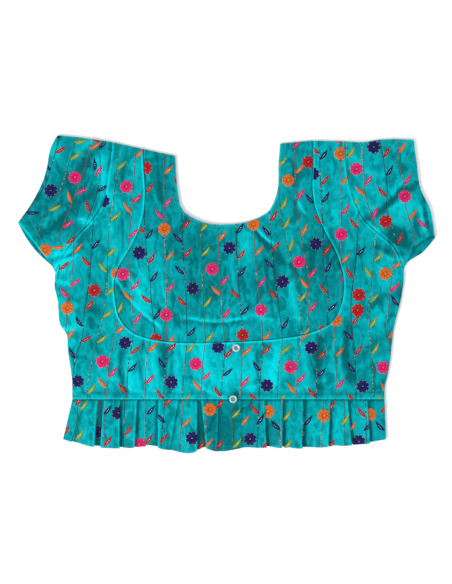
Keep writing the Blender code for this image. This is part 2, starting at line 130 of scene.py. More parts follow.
# Marked rows of the seams that keep matched edges together, and the share of each leg
PRINCESS_ROWS = (0, 4, 9, 14, 15, 18, 22, 26)
PRINCESS_STEPS = (8, 7, 12, 1, 11, 7, 8)
NECK_ROWS = (0, 3, 5, 7, 8, 9, 12, 15)
BACK_NECK_ROWS = (0, 4, 6, 8, 11, 15)
CUFF_SHOW_LEFT = 5.0
CUFF_SHOW_RIGHT = 11.0

# How many times finer the shells are than the solids, along and across
FINER = 7
ACROSS_BIB = 76
ACROSS_SIDE = 44
ARMHOLE_STEPS = 8 * FINER
SIDE_STEPS = 7 * FINER
ALONG_SLEEVE = 42
ACROSS_WAIST_BACK = 12 * FINER
ACROSS_BACK = 40

# Broad fullness of the upper cloth: name, x, y, radius across, radius up, height
FULLNESS = (
    ("bust left", -92, 62, 62, 55, 1.5),
    ("bust right", 98, 66, 60, 58, 1.5),
    ("band left", -110, -100, 75, 30, 1.0),
    ("band right", 110, -95, 75, 30, 1.1),
    ("side left", -176, 10, 34, 60, 1.2),
    ("side right", 186, 5, 34, 60, 1.4),
    ("sleeve left", -205, 140, 34, 42, 1.2),
    ("sleeve right", 215, 112, 30, 26, 2.4),
    ("underarm left", -214, 48, 13, 13, 2.2),
    ("shoulder right", 200, 172, 30, 22, 1.0),
)

# Creases, ridges above zero and troughs below: name, x, y to x, y, half width, height
CREASES = (
    ("dart left", -144, 20, -89, -40, 3, 0.9),
    ("dart left hollow", -140, 12, -96, -34, 4, -0.5),
    ("dart right", 83, 74, 96, -36, 5, 0.7),
    ("neck drag right", 36, 90, 84, 36, 5, -0.7),
    ("neck ridge right", 41, 84, 59, 67, 2.5, 0.8),
    ("neck drag left", -52, 96, -78, 52, 5, -0.5),
    ("bib bend", -54, -30, 24, -31, 3, 0.8),
    ("bib bend low", -60, -36, 20, -37, 4, -0.4),
    ("bib bend right", 34, -27, 66, -34, 4, 0.4),
    ("bib bust ray 1", -128, 26, -104, -6, 4, 0.5),
    ("bib bust ray 2", -116, 40, -96, 4, 3, 0.4),
    ("bib bust ray 3", 118, 20, 108, -28, 4, 0.4),
    ("strap left long", -88, 176, -84, 118, 4, -0.4),
    ("strap left slant", -100, 150, -82, 108, 3, 0.4),
    ("strap right long", 92, 186, 90, 120, 4, -0.4),
    ("strap right slant", 80, 160, 96, 116, 3, 0.4),
    ("side strip left long", -131, 186, -134, 126, 4, -0.5),
    ("side strip left ray", -140, 120, -150, 82, 4, 0.5),
    ("side strip left ray 2", -128, 104, -152, 60, 4, -0.4),
    ("side strip right long", 134, 190, 136, 128, 4, -0.4),
    ("side strip right ray", 140, 110, 164, 66, 5, 0.5),
    ("side strip right ray 2", 156, 96, 176, 50, 4, -0.4),
    ("band tuck 1", -133, -66, -131, -128, 4, -0.8),
    ("band tuck 2", -110, -68, -107, -120, 4, -0.7),
    ("band tuck 3", -80, -70, -76, -128, 5, -0.9),
    ("band tuck 4", -47, -72, -45, -112, 4, -0.6),
    ("band tuck 5", 47, -72, 44, -124, 5, -0.8),
    ("band tuck 6", 84, -70, 86, -118, 4, -0.6),
    ("band tuck 7", 122, -62, 120, -126, 5, -0.8),
    ("band tuck 8", 158, -40, 163, -110, 5, -0.9),
    ("band lift 1", -122, -74, -124, -118, 4, 0.5),
    ("band lift 2", -94, -72, -92, -100, 4, 0.6),
    ("band lift 3", -62, -84, -60, -126, 4, 0.5),
    ("band lift 4", -30, -70, -18, -106, 4, 0.5),
    ("band lift 5", 32, -76, 38, -104, 4, 0.5),
    ("band lift 6", 66, -72, 62, -116, 5, 0.6),
    ("band lift 7", 102, -70, 106, -104, 4, 0.5),
    ("band lift 8", 140, -64, 146, -120, 4, 0.6),
    ("band pull left", -36, -118, -4, -134, 4, 0.5),
    ("band pull right", 30, -126, 70, -112, 4, 0.4),
    ("band cross 1", -150, -108, -110, -128, 4, 0.4),
    ("band cross 2", 90, -124, 130, -110, 4, 0.4),
    ("sleeve fold right", 182, 98, 228, 134, 5, -1.5),
    ("sleeve fold right end", 228, 134, 246, 141, 4, -1.0),
    ("sleeve fold right lip", 184, 106, 226, 142, 4, 0.7),
    ("sleeve dark right", 216, 82, 240, 60, 6, -0.8),
    ("cuff ridge right", 253, 112, 258, 82, 3, 0.9),
    ("cuff hollow right", 246, 108, 252, 74, 3, -0.6),
    ("cap drag right 1", 168, 176, 196, 152, 4, 0.5),
    ("cap drag right 2", 166, 150, 186, 128, 4, -0.5),
    ("cap drag right 3", 206, 190, 232, 166, 5, -0.5),
    ("cap fold left", -165, 190, -196, 150, 5, -0.8),
    ("cap fold left 2", -178, 198, -206, 168, 4, 0.5),
    ("sleeve drag left 1", -176, 130, -214, 96, 4, -0.6),
    ("sleeve drag left 2", -196, 116, -238, 92, 4, 0.6),
    ("sleeve drag left 3", -206, 92, -244, 74, 4, -0.6),
    ("sleeve long left", -218, 180, -232, 140, 5, 0.4),
    ("underarm fold left", -190, 60, -224, 44, 4, -0.9),
    ("underarm pucker left 1", -196, 64, -212, 48, 2.2, 0.7),
    ("underarm pucker left 2", -204, 68, -220, 54, 2.2, 0.6),
    ("underarm pucker left 3", -200, 48, -220, 38, 2.2, 0.6),
    ("underarm pucker left 4", -210, 40, -222, 28, 2.2, 0.5),
    ("underarm fold right", 196, 62, 226, 52, 4, -0.8),
    ("underarm pucker right", 202, 54, 226, 44, 3, 0.6),
    ("side drag left", -215, 6, -168, -22, 5, -0.7),
    ("side drag left 2", -218, -10, -184, -14, 4, 0.5),
    ("side drag left 3", -212, -44, -184, -40, 4, 0.6),
    ("side drag left 4", -206, -74, -176, -84, 4, -0.4),
    ("side drag right", 222, 2, 178, -24, 5, -0.7),
    ("side drag right 2", 224, -18, 196, -34, 4, 0.5),
    ("side drag right 3", 216, -52, 188, -70, 4, -0.5),
    ("side drag right 4", 210, -84, 178, -92, 4, 0.4),
)

# Creases pressed across the peplum's runs: name, x, y to x, y, half width, height
PEPLUM_CREASES = (
    ("left scoop", -128, -160, -104, -166, 4, 0.35),
    ("left drop", -100, -150, -101, -196, 5, -0.3),
    ("second run", -182, -176, -176, -196, 5, 0.3),
    ("long fold", -150, -146, -152, -192, 4, 0.3),
    ("tall ray", -64, -142, -56, -190, 4, 0.35),
    ("wedge ray", -48, -148, -46, -200, 4, 0.3),
    ("middle drop", -22, -146, -24, -196, 5, -0.3),
    ("lap ray", 6, -144, 4, -198, 5, -0.3),
    ("right scoop", 88, -160, 112, -166, 4, 0.35),
    ("right ray", 118, -178, 134, -194, 4, 0.3),
    ("third run", 146, -150, 150, -190, 5, 0.3),
    ("side run", 172, -146, 174, -188, 4, -0.3),
    ("first run", 34, -146, 33, -196, 5, -0.25),
)

# How much sharper the shells' creases are than the solids'
CREASE_GAIN = 1.5

# Soft creases pressed into the back: name, x, y to x, y, half width, height
BACK_CREASES = (
    ("yoke left", -120, 150, -60, 70, 12, 0.5),
    ("yoke right", 118, 154, 52, 66, 13, 0.5),
    ("blade left", -176, 60, -92, 20, 10, 0.6),
    ("blade right", 186, 52, 84, 30, 11, 0.55),
    ("small of the back", -88, -64, 96, -78, 14, 0.6),
    ("left drag", -206, -20, -130, -58, 9, 0.5),
    ("right drag", 212, -8, 140, -66, 9, 0.5),
    ("waist left", -150, -128, -120, -84, 8, 0.45),
    ("waist middle", 6, -132, -8, -76, 9, 0.5),
    ("waist right", 154, -126, 120, -88, 8, 0.45),
)

# Pleats of the front peplum, left to right: name, x at the waist, x at the hem, the way
# the fold's edge faces (1 right, -1 left), its turn at the hem in degrees, its underlay
PLEATS_LEFT = (
    ("side slant", -188.0, -201.0, 1, 75, 0.6),
    ("strip left edge", -167.5, -171.5, 1, 165, 4.0),
    ("strip right edge", -160.5, -164.5, -1, 165, 4.0),
    ("second", -138.7, -138.7, 1, 168, 4.5),
    ("third", -115.9, -119.5, 1, 165, 4.0),
    ("fourth", -88.8, -89.8, -1, 165, 4.0),
    ("soft slant", -62.2, -73.6, 1, 62, 0.8),
    ("open wedge left", -38.0, -37.8, 1, 168, 4.5),
    ("open wedge right", -33.5, -26.5, -1, 160, 3.5),
    ("soft centre", -9.9, -11.6, 1, 70, 0.8),
)
PLEATS_RIGHT = (
    ("first", 49.6, 52.5, 1, 150, 2.5),
    ("second", 74.1, 72.8, 1, 165, 4.0),
    ("third", 101.4, 99.3, 1, 170, 5.0),
    ("fourth", 135.5, 132.8, 1, 168, 4.5),
    ("fifth", 158.1, 163.7, 1, 150, 2.5),
    ("sixth", 183.8, 187.2, 1, 150, 2.5),
)
PLEAT_RADIUS = 0.68
PLEAT_TURN_AT_WAIST = 34
PLEAT_ARC_STEPS = 6
PLEAT_RUN_STEPS = 12
PLEAT_CLEARANCE = 1.2
PEPLUM_ROWS = 32
HEM_STEP = 1.6
BACK_HEM_SHORT = 3.0
BACK_PEPLUM_STEPS = 90
DOWN_BACK_PEPLUM = 26

# The front peplum's strips: pleats, x of the left side and of the right one at the waist and at
# the hem, how far the lap keeps the cloth level at each side, and its rise at the right
PEPLUMS = {
    "peplum_front_left": (
        PLEATS_LEFT, PEPLUM_SIDE_LEFT, (LAP_EDGE_X, LAP_EDGE_X),
        (0.0, LAP_EDGE_X - UNDERLAP_X + 2), LAP_RISE,
    ),
    "peplum_front_right": (
        PLEATS_RIGHT, (UNDERLAP_X, UNDERLAP_X), PEPLUM_SIDE_RIGHT,
        (LAP_EDGE_X - UNDERLAP_X + 2, 0.0), 0.0,
    ),
}

BUTTONS = (("button_upper", 12.6, -70.2), ("button_lower", 8.7, -136.8))

# Points of the dense line between two rows of an edge table
FINE = 12


def curved(rows):
    """A smooth line through the rows, with FINE points to each step."""
    rows = np.array(rows, float)
    chord = np.linalg.norm(np.diff(rows, axis=0), axis=1)
    at = np.concatenate([[0], np.cumsum(chord)])
    slope = np.gradient(rows, at, axis=0)
    part = np.linspace(0, 1, FINE, endpoint=False)[:, None]
    line = []
    for i, length in enumerate(chord):
        a, b = rows[i], rows[i + 1]
        ta, tb = slope[i] * length, slope[i + 1] * length
        line.append(
            (2 * part**3 - 3 * part**2 + 1) * a
            + (part**3 - 2 * part**2 + part) * ta
            + (3 * part**2 - 2 * part**3) * b
            + (part**3 - part**2) * tb
        )
    return np.vstack([*line, rows[-1:]])


def smooth_line(rows, corner=None):
    """A smooth line through the rows, with a sharp turn at the corner row if there is one."""
    if corner is None:
        return curved(rows)
    return np.vstack([curved(rows[: corner + 1])[:-1], curved(rows[corner:])])


def distance_along(line):
    """How far along the line each of its points is."""
    return np.concatenate([[0], np.cumsum(np.linalg.norm(np.diff(line, axis=0), axis=1))])


def length_of(line):
    return np.linalg.norm(np.diff(line, axis=0), axis=1).sum()


def resampled(line, steps):
    """The line's points again, at even distances."""
    along = distance_along(line)
    at = np.linspace(0, along[-1], steps + 1)
    return np.stack([np.interp(at, along, line[:, k]) for k in (0, 1)], axis=1)


def matched(rows, marks, steps, corner=None):
    """Points on the line through the rows, with so many steps from each marked row on."""
    line = smooth_line(rows, corner)
    legs = [
        resampled(line[a * FINE : b * FINE + 1], n)[:-1]
        for a, b, n in zip(marks, marks[1:], steps)
    ]
    return np.vstack([*legs, line[marks[-1] * FINE][None]])


def left_of(line):
    """Unit steps to the left of the line's direction at each of its points."""
    along = np.gradient(line, axis=0)
    along /= np.linalg.norm(along, axis=1)[:, None]
    return np.stack([-along[:, 1], along[:, 0]], axis=1)


def moved_left(line, by):
    return line + by * left_of(line)


def smooth_step(x, low, high):
    part = np.clip((x - low) / (high - low), 0.0, 1.0)
    return part * part * (3 - 2 * part)


def crease_height(x, y, creases):
    """Sum of soft ridges and troughs along straight lines, at places given as arrays."""
    height = np.zeros_like(x)
    for _, xa, ya, xb, yb, width, top in creases:
        dx, dy = xb - xa, yb - ya
        long = math.hypot(dx, dy)
        part = ((x - xa) * dx + (y - ya) * dy) / long**2
        beyond = np.maximum(0.0, np.maximum(-part, part - 1)) * long
        bow = 0.06 * long * np.sin(math.pi * np.clip(part, 0, 1))
        off = ((x - xa) * dy - (y - ya) * dx) / long - bow
        height += top * np.exp(-((off / width) ** 2) - (beyond / (1.5 * width)) ** 2)
    return height


def relief(x, y):
    """Height of the upper cloth over a flat one at places given as arrays."""
    height = np.full_like(x, 0.25)
    for _, cx, cy, across, up, top in FULLNESS:
        height += top * np.exp(-(((x - cx) / across) ** 2) - ((y - cy) / up) ** 2)
    return np.clip(height + CREASE_GAIN * crease_height(x, y, CREASES), 0.0, MOST_RELIEF)


def distance_to(line, x, y):
    """Distance from places to a line of points, with the share along it."""
    best = np.full(x.shape, 1e9)
    where = np.zeros(x.shape)
    for i, (a, b) in enumerate(zip(line, line[1:])):
        dx, dy = b - a
        square = dx * dx + dy * dy
        if square == 0:
            continue
        part = np.clip(((x - a[0]) * dx + (y - a[1]) * dy) / square, 0, 1)
        far = np.hypot(x - a[0] - part * dx, y - a[1] - part * dy)
        closer = far < best
        best = np.where(closer, far, best)
        where = np.where(closer, (i + part) / (len(line) - 1), where)
    return best, where


def fine_steps(steps):
    return tuple(FINER * n for n in steps)


def princess_line():
    return matched(PRINCESS, PRINCESS_ROWS, fine_steps(PRINCESS_STEPS))


def armhole_line(rows):
    return matched(rows, (0, len(rows) - 1), (ARMHOLE_STEPS,))


def side_line(rows):
    return matched(rows, (0, len(rows) - 1), (SIDE_STEPS,))


def waist_line(start_x, end_x, steps):
    x = np.linspace(start_x, end_x, steps + 1)
    return np.stack([x, np.full(steps + 1, WAIST_Y + SEAM_GAP / 2)], axis=1)


def outer_line(armhole, side, sign, waist_end, waist_steps):
    """A front piece's edge from the shoulder past the underarm and down to the waist."""
    arm = moved_left(armhole_line(armhole), sign * SEAM_GAP / 2)
    down = side_line(side)[1:]
    waist = waist_line(down[-1][0], waist_end, waist_steps)
    return np.vstack([arm, down[:-1], waist])


def bib_edges():
    inner = matched(NECK, NECK_ROWS, fine_steps(PRINCESS_STEPS))
    return inner, moved_left(princess_line(), SEAM_GAP / 2)


def left_edges():
    shoulder, underarm, under, lap = fine_steps(PRINCESS_STEPS[:4])
    inner = moved_left(princess_line()[: shoulder + underarm + under + lap + 1], -SEAM_GAP / 2)
    return inner, outer_line(ARMHOLE_LEFT, SIDE_LEFT, 1, LAP_EDGE_X, under + lap)


def right_edges():
    shoulder, underarm, under, lap, far = fine_steps(PRINCESS_STEPS[:5])
    inner = moved_left(princess_line()[shoulder + underarm + under :], -SEAM_GAP / 2)[::-1]
    return inner, outer_line(ARMHOLE_RIGHT, SIDE_RIGHT, -1, UNDERLAP_X, lap + far)


def back_edges():
    steps = (ARMHOLE_STEPS, SIDE_STEPS, ACROSS_WAIST_BACK, SIDE_STEPS, ARMHOLE_STEPS)
    inner = matched(NECK, BACK_NECK_ROWS, steps)
    left = moved_left(armhole_line(ARMHOLE_LEFT), SEAM_GAP / 2)
    right = moved_left(armhole_line(ARMHOLE_RIGHT), -SEAM_GAP / 2)[::-1]
    down, up = side_line(SIDE_LEFT)[1:], side_line(SIDE_RIGHT)[::-1][:-1]
    waist = waist_line(down[-1][0], up[0][0], ACROSS_WAIST_BACK)
    return inner, np.vstack([left, down[:-1], waist, up[1:], right])


def outline_of(edges):
    inner, outer = edges
    return np.vstack([inner, outer[::-1]])


PRINCESS_SEAM = resampled(smooth_line(PRINCESS), 150)
NECK_EDGE = resampled(smooth_line(NECK), 90)
ARM_SEAMS = (resampled(smooth_line(ARMHOLE_LEFT), 50), resampled(smooth_line(ARMHOLE_RIGHT), 50))
FREE_EDGES = (
    resampled(smooth_line(SIDE_LEFT), 30),
    resampled(smooth_line(SIDE_RIGHT), 30),
    np.array([(-149, 198), (-109, 189), (-67, 180)], float),
    np.array([(70, 196), (113, 200), (154, 199)], float),
)


def bump(distance, height, width):
    return height * np.exp(-((distance / width) ** 2))


def gathers(line, x, y, pitch, reach, height):
    """Uneven little puckers that run off a seam."""
    far, share = distance_to(line, x, y)
    along = share * length_of(line)
    wave = 0.6 * np.sin(2 * math.pi * along / pitch)
    wave += 0.4 * np.sin(1.23 * math.pi * along / pitch + 1.1)
    return height * wave * np.exp(-((far / reach) ** 2))


def front_height(x, y):
    """Height of the front's face before its seams: relief, armhole puckers and falling edges."""
    height = FRONT_TOP + relief(x, y)
    for line in FREE_EDGES:
        height -= bump(distance_to(line, x, y)[0], 0.8, 2.2)
    for line, depth in zip(ARM_SEAMS, (0.32, 0.2)):
        height += gathers(line, x, y, 7.5, 8.0, depth)
        height -= bump(distance_to(line, x, y)[0], 0.45, 1.0)
    return height


def bib_height(x, y):
    seam = distance_to(PRINCESS_SEAM, x, y)[0]
    edge = distance_to(NECK_EDGE, x, y)[0]
    height = front_height(x, y) - bump(seam, 0.75, 1.5) + gathers(PRINCESS_SEAM, x, y, 11, 6, 0.12)
    return height + bump(edge, 0.3, 4.0) - bump(edge, 0.45, 0.9)


def band_height(y):
    """The band's turned lower edge: a stitched groove with a soft ridge below it."""
    up = y - WAIST_Y
    ridge = 0.35 * smooth_step(up, 9.5, 6.5)
    return ridge - bump(up - WAIST_STITCH, 0.5, 0.9) - bump(up, 0.55, 1.0)


def side_height(x, y):
    seam = distance_to(PRINCESS_SEAM, x, y)[0]
    lip = bump(seam, SEAM_LIP + 0.25, 2.2) - bump(seam, 0.35, 0.5)
    return front_height(x, y) + lip + gathers(PRINCESS_SEAM, x, y, 9, 9, 0.14) + band_height(y)


def left_height(x, y):
    rise = LAP_RISE * smooth_step(x, UNDERLAP_X - 2 - LAP_RAMP, UNDERLAP_X - 2)
    edge = np.where(y < -60, LAP_EDGE_X - x, 99.0)
    return side_height(x, y) + rise - bump(edge, 0.3, 0.7)


def sleeve_height(x, y):
    height = FRONT_TOP + relief(x, y)
    for line, depth in zip(ARM_SEAMS, (0.32, 0.2)):
        far = distance_to(line, x, y)[0]
        pucker = gathers(line, x, y, 8.5, 9.0, depth)
        height += pucker - bump(far, 0.35, 1.0) + bump(far - 2.5, 0.2, 1.5)
    return height


def back_height(x, y):
    """Height of the back's outer face, which lies on the table, over it."""
    return BACK_LIFT + np.clip(crease_height(x, y, BACK_CREASES), 0.0, 0.75)


def places_across(width, steps):
    """Places across a panel from 0 to 1, closer together beside both edges."""
    size = min(1.0, width / 14)
    near = np.array([0.0, 0.5, 1.2, 2.2]) * size / width
    middle = np.linspace(3.4 * size / width, 1 - 3.4 * size / width, steps - 7)
    return np.concatenate([near, middle, 1 - near[::-1]])


def ruled_places(edges, steps):
    """Plan places of a grid on straight rulings from one edge line to the other."""
    rows = []
    for a, b in zip(*edges):
        part = places_across(float(np.linalg.norm(b - a)), steps)[:, None]
        rows.append(a + part * (b - a))
    return np.array(rows)


def quads(rows, columns, first, wrap):
    """The faces of a grid of vertices that starts at the vertex numbered first."""
    count = columns if wrap else columns - 1
    return [
        (
            first + i * columns + j,
            first + i * columns + (j + 1) % columns,
            first + (i + 1) * columns + (j + 1) % columns,
            first + (i + 1) * columns + j,
        )
        for i in range(rows - 1)
        for j in range(count)
    ]


def shell_faces(rows, columns, wrap):
    """Faces of a closed shell between two like grids; a wrapped one is a tube open at both ends."""
    second = rows * columns
    faces = quads(rows, columns, 0, wrap)
    faces += [face[::-1] for face in quads(rows, columns, second, wrap)]

    def rim(line):
        return [(a, a + second, b + second, b) for a, b in zip(line, line[1:])]

    start = list(range(columns))
    end = [(rows - 1) * columns + j for j in range(columns)]
    if wrap:
        return faces + rim([*start, start[0]]) + [f[::-1] for f in rim([*end, end[0]])]
    left = [i * columns for i in range(rows)]
    right = [i * columns + columns - 1 for i in range(rows)]
    faces += rim(start) + [f[::-1] for f in rim(end)]
    return faces + [f[::-1] for f in rim(left)] + rim(right)


# Patches of painted highlight and painted shade on the satin, among them a painted shadow beside
# the lower button: x, y, radius across, radius up, tone
PAINTED_LIGHT_SHADE_PATCHES = (
    (-205, 140, 50, 60, -0.34), (-238, 92, 26, 24, -0.2), (-216, 44, 16, 18, 0.42),
    (-116, 168, 22, 26, 0.1), (-86, 140, 20, 40, -0.18), (-60, 60, 40, 24, -0.12),
    (-96, 40, 26, 34, 0.16), (-112, -14, 26, 26, 0.26), (-30, 16, 44, 26, -0.16),
    (-36, 60, 30, 20, -0.1), (-20, -46, 60, 12, 0.22), (40, 66, 22, 18, 0.16),
    (70, 30, 30, 36, -0.12), (110, 30, 24, 40, -0.22), (150, 60, 24, 30, -0.14),
    (120, 160, 24, 30, 0.08), (190, 120, 30, 24, 0.16), (232, 112, 18, 16, 0.3),
    (226, 72, 16, 12, -0.34), (176, 20, 26, 30, -0.06), (206, 18, 14, 30, 0.16),
    (-176, -20, 16, 60, -0.22), (-196, -30, 14, 40, 0.1), (-120, -90, 30, 26, 0.16),
    (-96, -118, 26, 14, 0.22), (-40, -76, 34, 14, 0.26), (-10, -110, 34, 18, 0.3),
    (40, -100, 26, 22, 0.26), (84, -84, 20, 20, 0.1), (120, -80, 22, 40, -0.1),
    (170, -90, 40, 40, -0.18), (-120, -170, 60, 24, 0.02), (-60, -176, 26, 24, 0.06),
    (0, -170, 34, 40, -0.3), (80, -172, 40, 30, -0.02), (150, -172, 50, 30, 0.1),
    (13, -129.5, 5, 5, -0.5), (-165, 172, 8, 16, 0.5), (-160, 149, 7, 12, 0.45),
    (-155, 126, 7, 10, 0.4), (-150, 74, 9, 22, 0.25), (-128, 178, 6, 14, -0.15),
    (-228, 188, 14, 8, 0.35), (-184, 92, 8, 8, 0.25), (208, 120, 20, 9, -0.3),
    (222, 76, 14, 9, -0.4), (250, 96, 8, 16, -0.25), (24, 64, 10, 34, 0.2), (-134, -4, 9, 30, -0.2),
    (-58, 26, 10, 40, 0.15), (88, 4, 9, 40, 0.2),
)


# Painted highlights and painted shade in thin lines along creases on the satin: name, x, y to x, y,
# half width, tone
PAINTED_CREASE_LINES = (
    ("dart left", -144, 20, -89, -40, 1.1, 0.8),
    ("dart left shade", -143, 14, -93, -42, 2.0, -0.25),
    ("neck ridge", 41, 84.6, 59, 67.7, 1.4, 0.8),
    ("neck shade", 38, 80, 57, 62, 2.6, -0.3),
    ("right strap", 94, 119, 103, 105, 1.6, 0.5),
    ("bib bend", -54, -30, 24, -31, 0.9, 0.3),
    ("bib bend shade", -50, -34, 20, -35, 1.8, -0.25),
    ("bib bend end", 36, -27, 62, -33, 1.0, 0.3),
    ("left bib ray", -128, 26, -112, 2, 1.8, 0.5),
    ("left bib ray 2", -84, 20, -78, -8, 1.4, 0.25),
    ("middle bib ray", -46, 44, -38, -8, 2.0, -0.25),
    ("bib fold 1", 8, 60, 12, 4, 2.2, 0.25),
    ("bib fold 2", 52, 44, 60, -10, 2.0, -0.28),
    ("bib fold 3", 94, 60, 104, 6, 2.0, 0.25),
    ("sleeve fold", 208, 117, 226, 134, 1.7, -0.45),
    ("sleeve fold end", 225, 133, 246, 140, 1.4, -0.6),
    ("sleeve fold light", 212, 113, 240, 128, 2.6, 0.35),
    ("sleeve edge light", 255, 110, 260, 82, 1.8, 0.5),
    ("sleeve edge shade", 257, 138, 266, 80, 3.2, -0.4),
    ("left sleeve light", -190, 98, -172, 92, 1.8, 0.6),
    ("left sleeve ray", -226, 88, -206, 112, 2.0, -0.3),
    ("left sleeve ray 2", -240, 104, -220, 122, 1.8, 0.2),
    ("underarm light 1", -222, 52, -200, 58, 1.8, 0.6),
    ("underarm light 2", -214, 40, -196, 50, 1.8, 0.6),
    ("underarm shade", -218, 46, -198, 54, 1.2, -0.4),
    ("left side line", -222, 18, -206, 14, 1.5, 0.6),
    ("left side line 2", -212, -46, -196, -42, 1.5, 0.5),
    ("right side line", 200, 34, 226, 22, 1.4, 0.3),
    ("band ray 1", -138, -74, -134, -124, 2.2, -0.35),
    ("band ray 2", -104, -84, -100, -116, 2.0, 0.35),
    ("band ray 3", -70, -76, -68, -122, 2.2, -0.35),
    ("band ray 4", -30, -78, -26, -106, 2.4, 0.3),
    ("band ray 5", 40, -74, 42, -112, 2.4, -0.35),
    ("band ray 6", 68, -80, 64, -110, 2.2, 0.35),
    ("band ray 7", 126, -70, 124, -122, 2.4, -0.35),
    ("band ray 8", 150, -60, 152, -118, 2.4, 0.3),
    ("band pull", 26, -122, 60, -110, 1.4, 0.35),
    ("band pull left", -34, -120, -6, -133, 1.4, 0.3),
)


# Tone of flat cloth, and the painted highlight or painted shade that a millimetre of a crease's
# ridge or trough adds
FLAT_CLOTH_TONE = 0.465
PAINTED_LIGHT_AND_SHADE_BY_CREASE = 0.42
PAINTED_LIGHT_AND_SHADE_BY_PLEAT_CREASE = 0.2


def painted_light_and_shade(x, y):
    """Painted light and shade of the cloth, from 0, deep, to 1, light, at places given as arrays.
    """
    # Painted highlight on the creases' ridges and painted shade in their troughs, then the painted
    # lines and patches
    tone = FLAT_CLOTH_TONE + PAINTED_LIGHT_AND_SHADE_BY_CREASE * crease_height(x, y, CREASES)
    tone = tone + PAINTED_LIGHT_AND_SHADE_BY_PLEAT_CREASE * crease_height(x, y, PEPLUM_CREASES)
    tone += crease_height(x, y, PAINTED_CREASE_LINES)
    for cx, cy, across, up, change in PAINTED_LIGHT_SHADE_PATCHES:
        tone += change * np.exp(-(((x - cx) / across) ** 2) - ((y - cy) / up) ** 2)
    return np.clip(tone, -0.2, 1.2)


# No painted light or shade along the edges
def no_painted_edge_light_and_shade(x, y):
    return np.zeros_like(x)


def bib_painted_light_and_shade(x, y):
    """Painted shade on the bib where it goes under the princess seam, a painted highlight at the
    neck's edge, and the bib a little darker all over.
    """
    seam, edge = distance_to(PRINCESS_SEAM, x, y)[0], distance_to(NECK_EDGE, x, y)[0]
    return bump(edge - 1.2, 0.22, 1.1) - bump(seam, 0.2, 1.0) - 0.12


def arm_distance(x, y):
    return np.minimum(*(distance_to(line, x, y)[0] for line in ARM_SEAMS))


def side_painted_light_and_shade(x, y):
    """Painted highlights where the side panels' turned edges catch the light, along the edge at the
    waist and beside the armhole seam; painted shade in the waist's stitched groove, at the waist's
    edge and on the armhole seam.
    """
    seam, up = distance_to(PRINCESS_SEAM, x, y)[0], y - WAIST_Y
    arm = arm_distance(x, y)
    light = bump(seam - 1.2, 0.7, 0.9) + bump(up - 1.4, 0.35, 0.7) + bump(arm - 1.6, 0.5, 1.0)
    return light - bump(up - WAIST_STITCH, 0.3, 1.0) - bump(up, 0.3, 0.5) - bump(arm, 0.15, 0.8)


def sleeve_painted_light_and_shade(x, y):
    # Painted highlight just off the armhole seam and painted shade on the seam
    arm = arm_distance(x, y)
    return bump(arm - 2.2, 0.3, 1.2) - bump(arm, 0.2, 0.9)


def pleat_painted_light_and_shadow(pleats):
    """Painted light and shade beside pleats: a painted highlight along each fold's edge, a painted
    shadow on the cloth beneath it, painted shade along the waist seam, and the strip a little
    darker all over.
    """

    def tone(x, y):
        found = np.zeros_like(x)
        down = (PEPLUM_TOP_Y - y) / PEPLUM_DEPTH
        for _, waist_x, hem_x, faces, turn, _ in pleats:
            off = (x - waist_x - down * (hem_x - waist_x)) * faces
            sharp = 1.0 if turn > 100 else 0.45
            found -= sharp * 0.8 * np.where(off > 0, np.exp(-((off / 3.2) ** 2)), 0.0)
            found += bump(off + 1.6, 0.3 * sharp, 1.3)
        return found - bump(y - PEPLUM_TOP_Y, 0.5, 1.6) - 0.06

    return tone


# Edges of the cloth shells that are sharper than this stay sharp
SHARP_ANGLE = math.radians(50)


def new_mesh(name, points, edges=(), faces=(), fields=None):
    """A mesh from places in millimetres, with fields that give each a number or a colour."""
    mesh = bpy.data.meshes.new(name)
    mesh.from_pydata((np.array(points, float) * MM).tolist(), edges, faces)
    for label, values in (fields or {}).items():
        values = np.array(values, np.float32)
        vector = values.ndim == 2
        layer = mesh.attributes.new(label, "FLOAT_VECTOR" if vector else "FLOAT", "POINT")
        layer.data.foreach_set("vector" if vector else "value", values.ravel())
    return mesh


def face_outwards(mesh):
    made = bmesh.new()
    made.from_mesh(mesh)
    bmesh.ops.recalc_face_normals(made, faces=made.faces)
    made.to_mesh(mesh)
    made.free()
    mesh.shade_smooth()
    return mesh


def add_piece(name, mesh, material):
    mesh.materials.append(material)
    piece = bpy.data.objects.new(name, mesh)
    bpy.context.scene.collection.objects.link(piece)
    return piece


def cloth_object(name, upper, lower, material, wrap=False, painted_edge_light_and_shade=no_painted_edge_light_and_shade, more_painted_light_and_shade=0.0):
    """A closed cloth shell between two grids of points in millimetres, whose tone field holds the
    flat cloth's tone with painted light and shade for its material.
    """
    rows, columns = upper.shape[:2]
    points = np.vstack([upper.reshape(-1, 3), lower.reshape(-1, 3)])
    x, y = points[:, 0], points[:, 1]
    tone = painted_light_and_shade(x, y) + painted_edge_light_and_shade(x, y) + more_painted_light_and_shade
    mesh = new_mesh(name, points, faces=shell_faces(rows, columns, wrap), fields={"tone": tone})
    face_outwards(mesh).set_sharp_from_angle(angle=SHARP_ANGLE)
    return add_piece(name, mesh, material)


def lay_panel(name, edges, steps, height, thickness, material, node, painted_edge_light_and_shade=no_painted_edge_light_and_shade):
    """A flat-cut panel whose outer face follows a height over the table, in the node's place."""
    places = ruled_places(edges, steps)
    x, y = places[..., 0], places[..., 1]
    outer = np.dstack([x, y, height(x, y)])
    inner = outer.copy()
    inner[..., 2] += thickness
    grids = (inner, outer) if thickness > 0 else (outer, inner)
    piece = cloth_object(name, *grids, material, painted_edge_light_and_shade=painted_edge_light_and_shade)
    dress(piece, node)
    return piece


def dress(piece, node):
    """The piece rides on the garment's one body and stands for its node."""
    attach(piece, "root")
    if node:
        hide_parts(node)


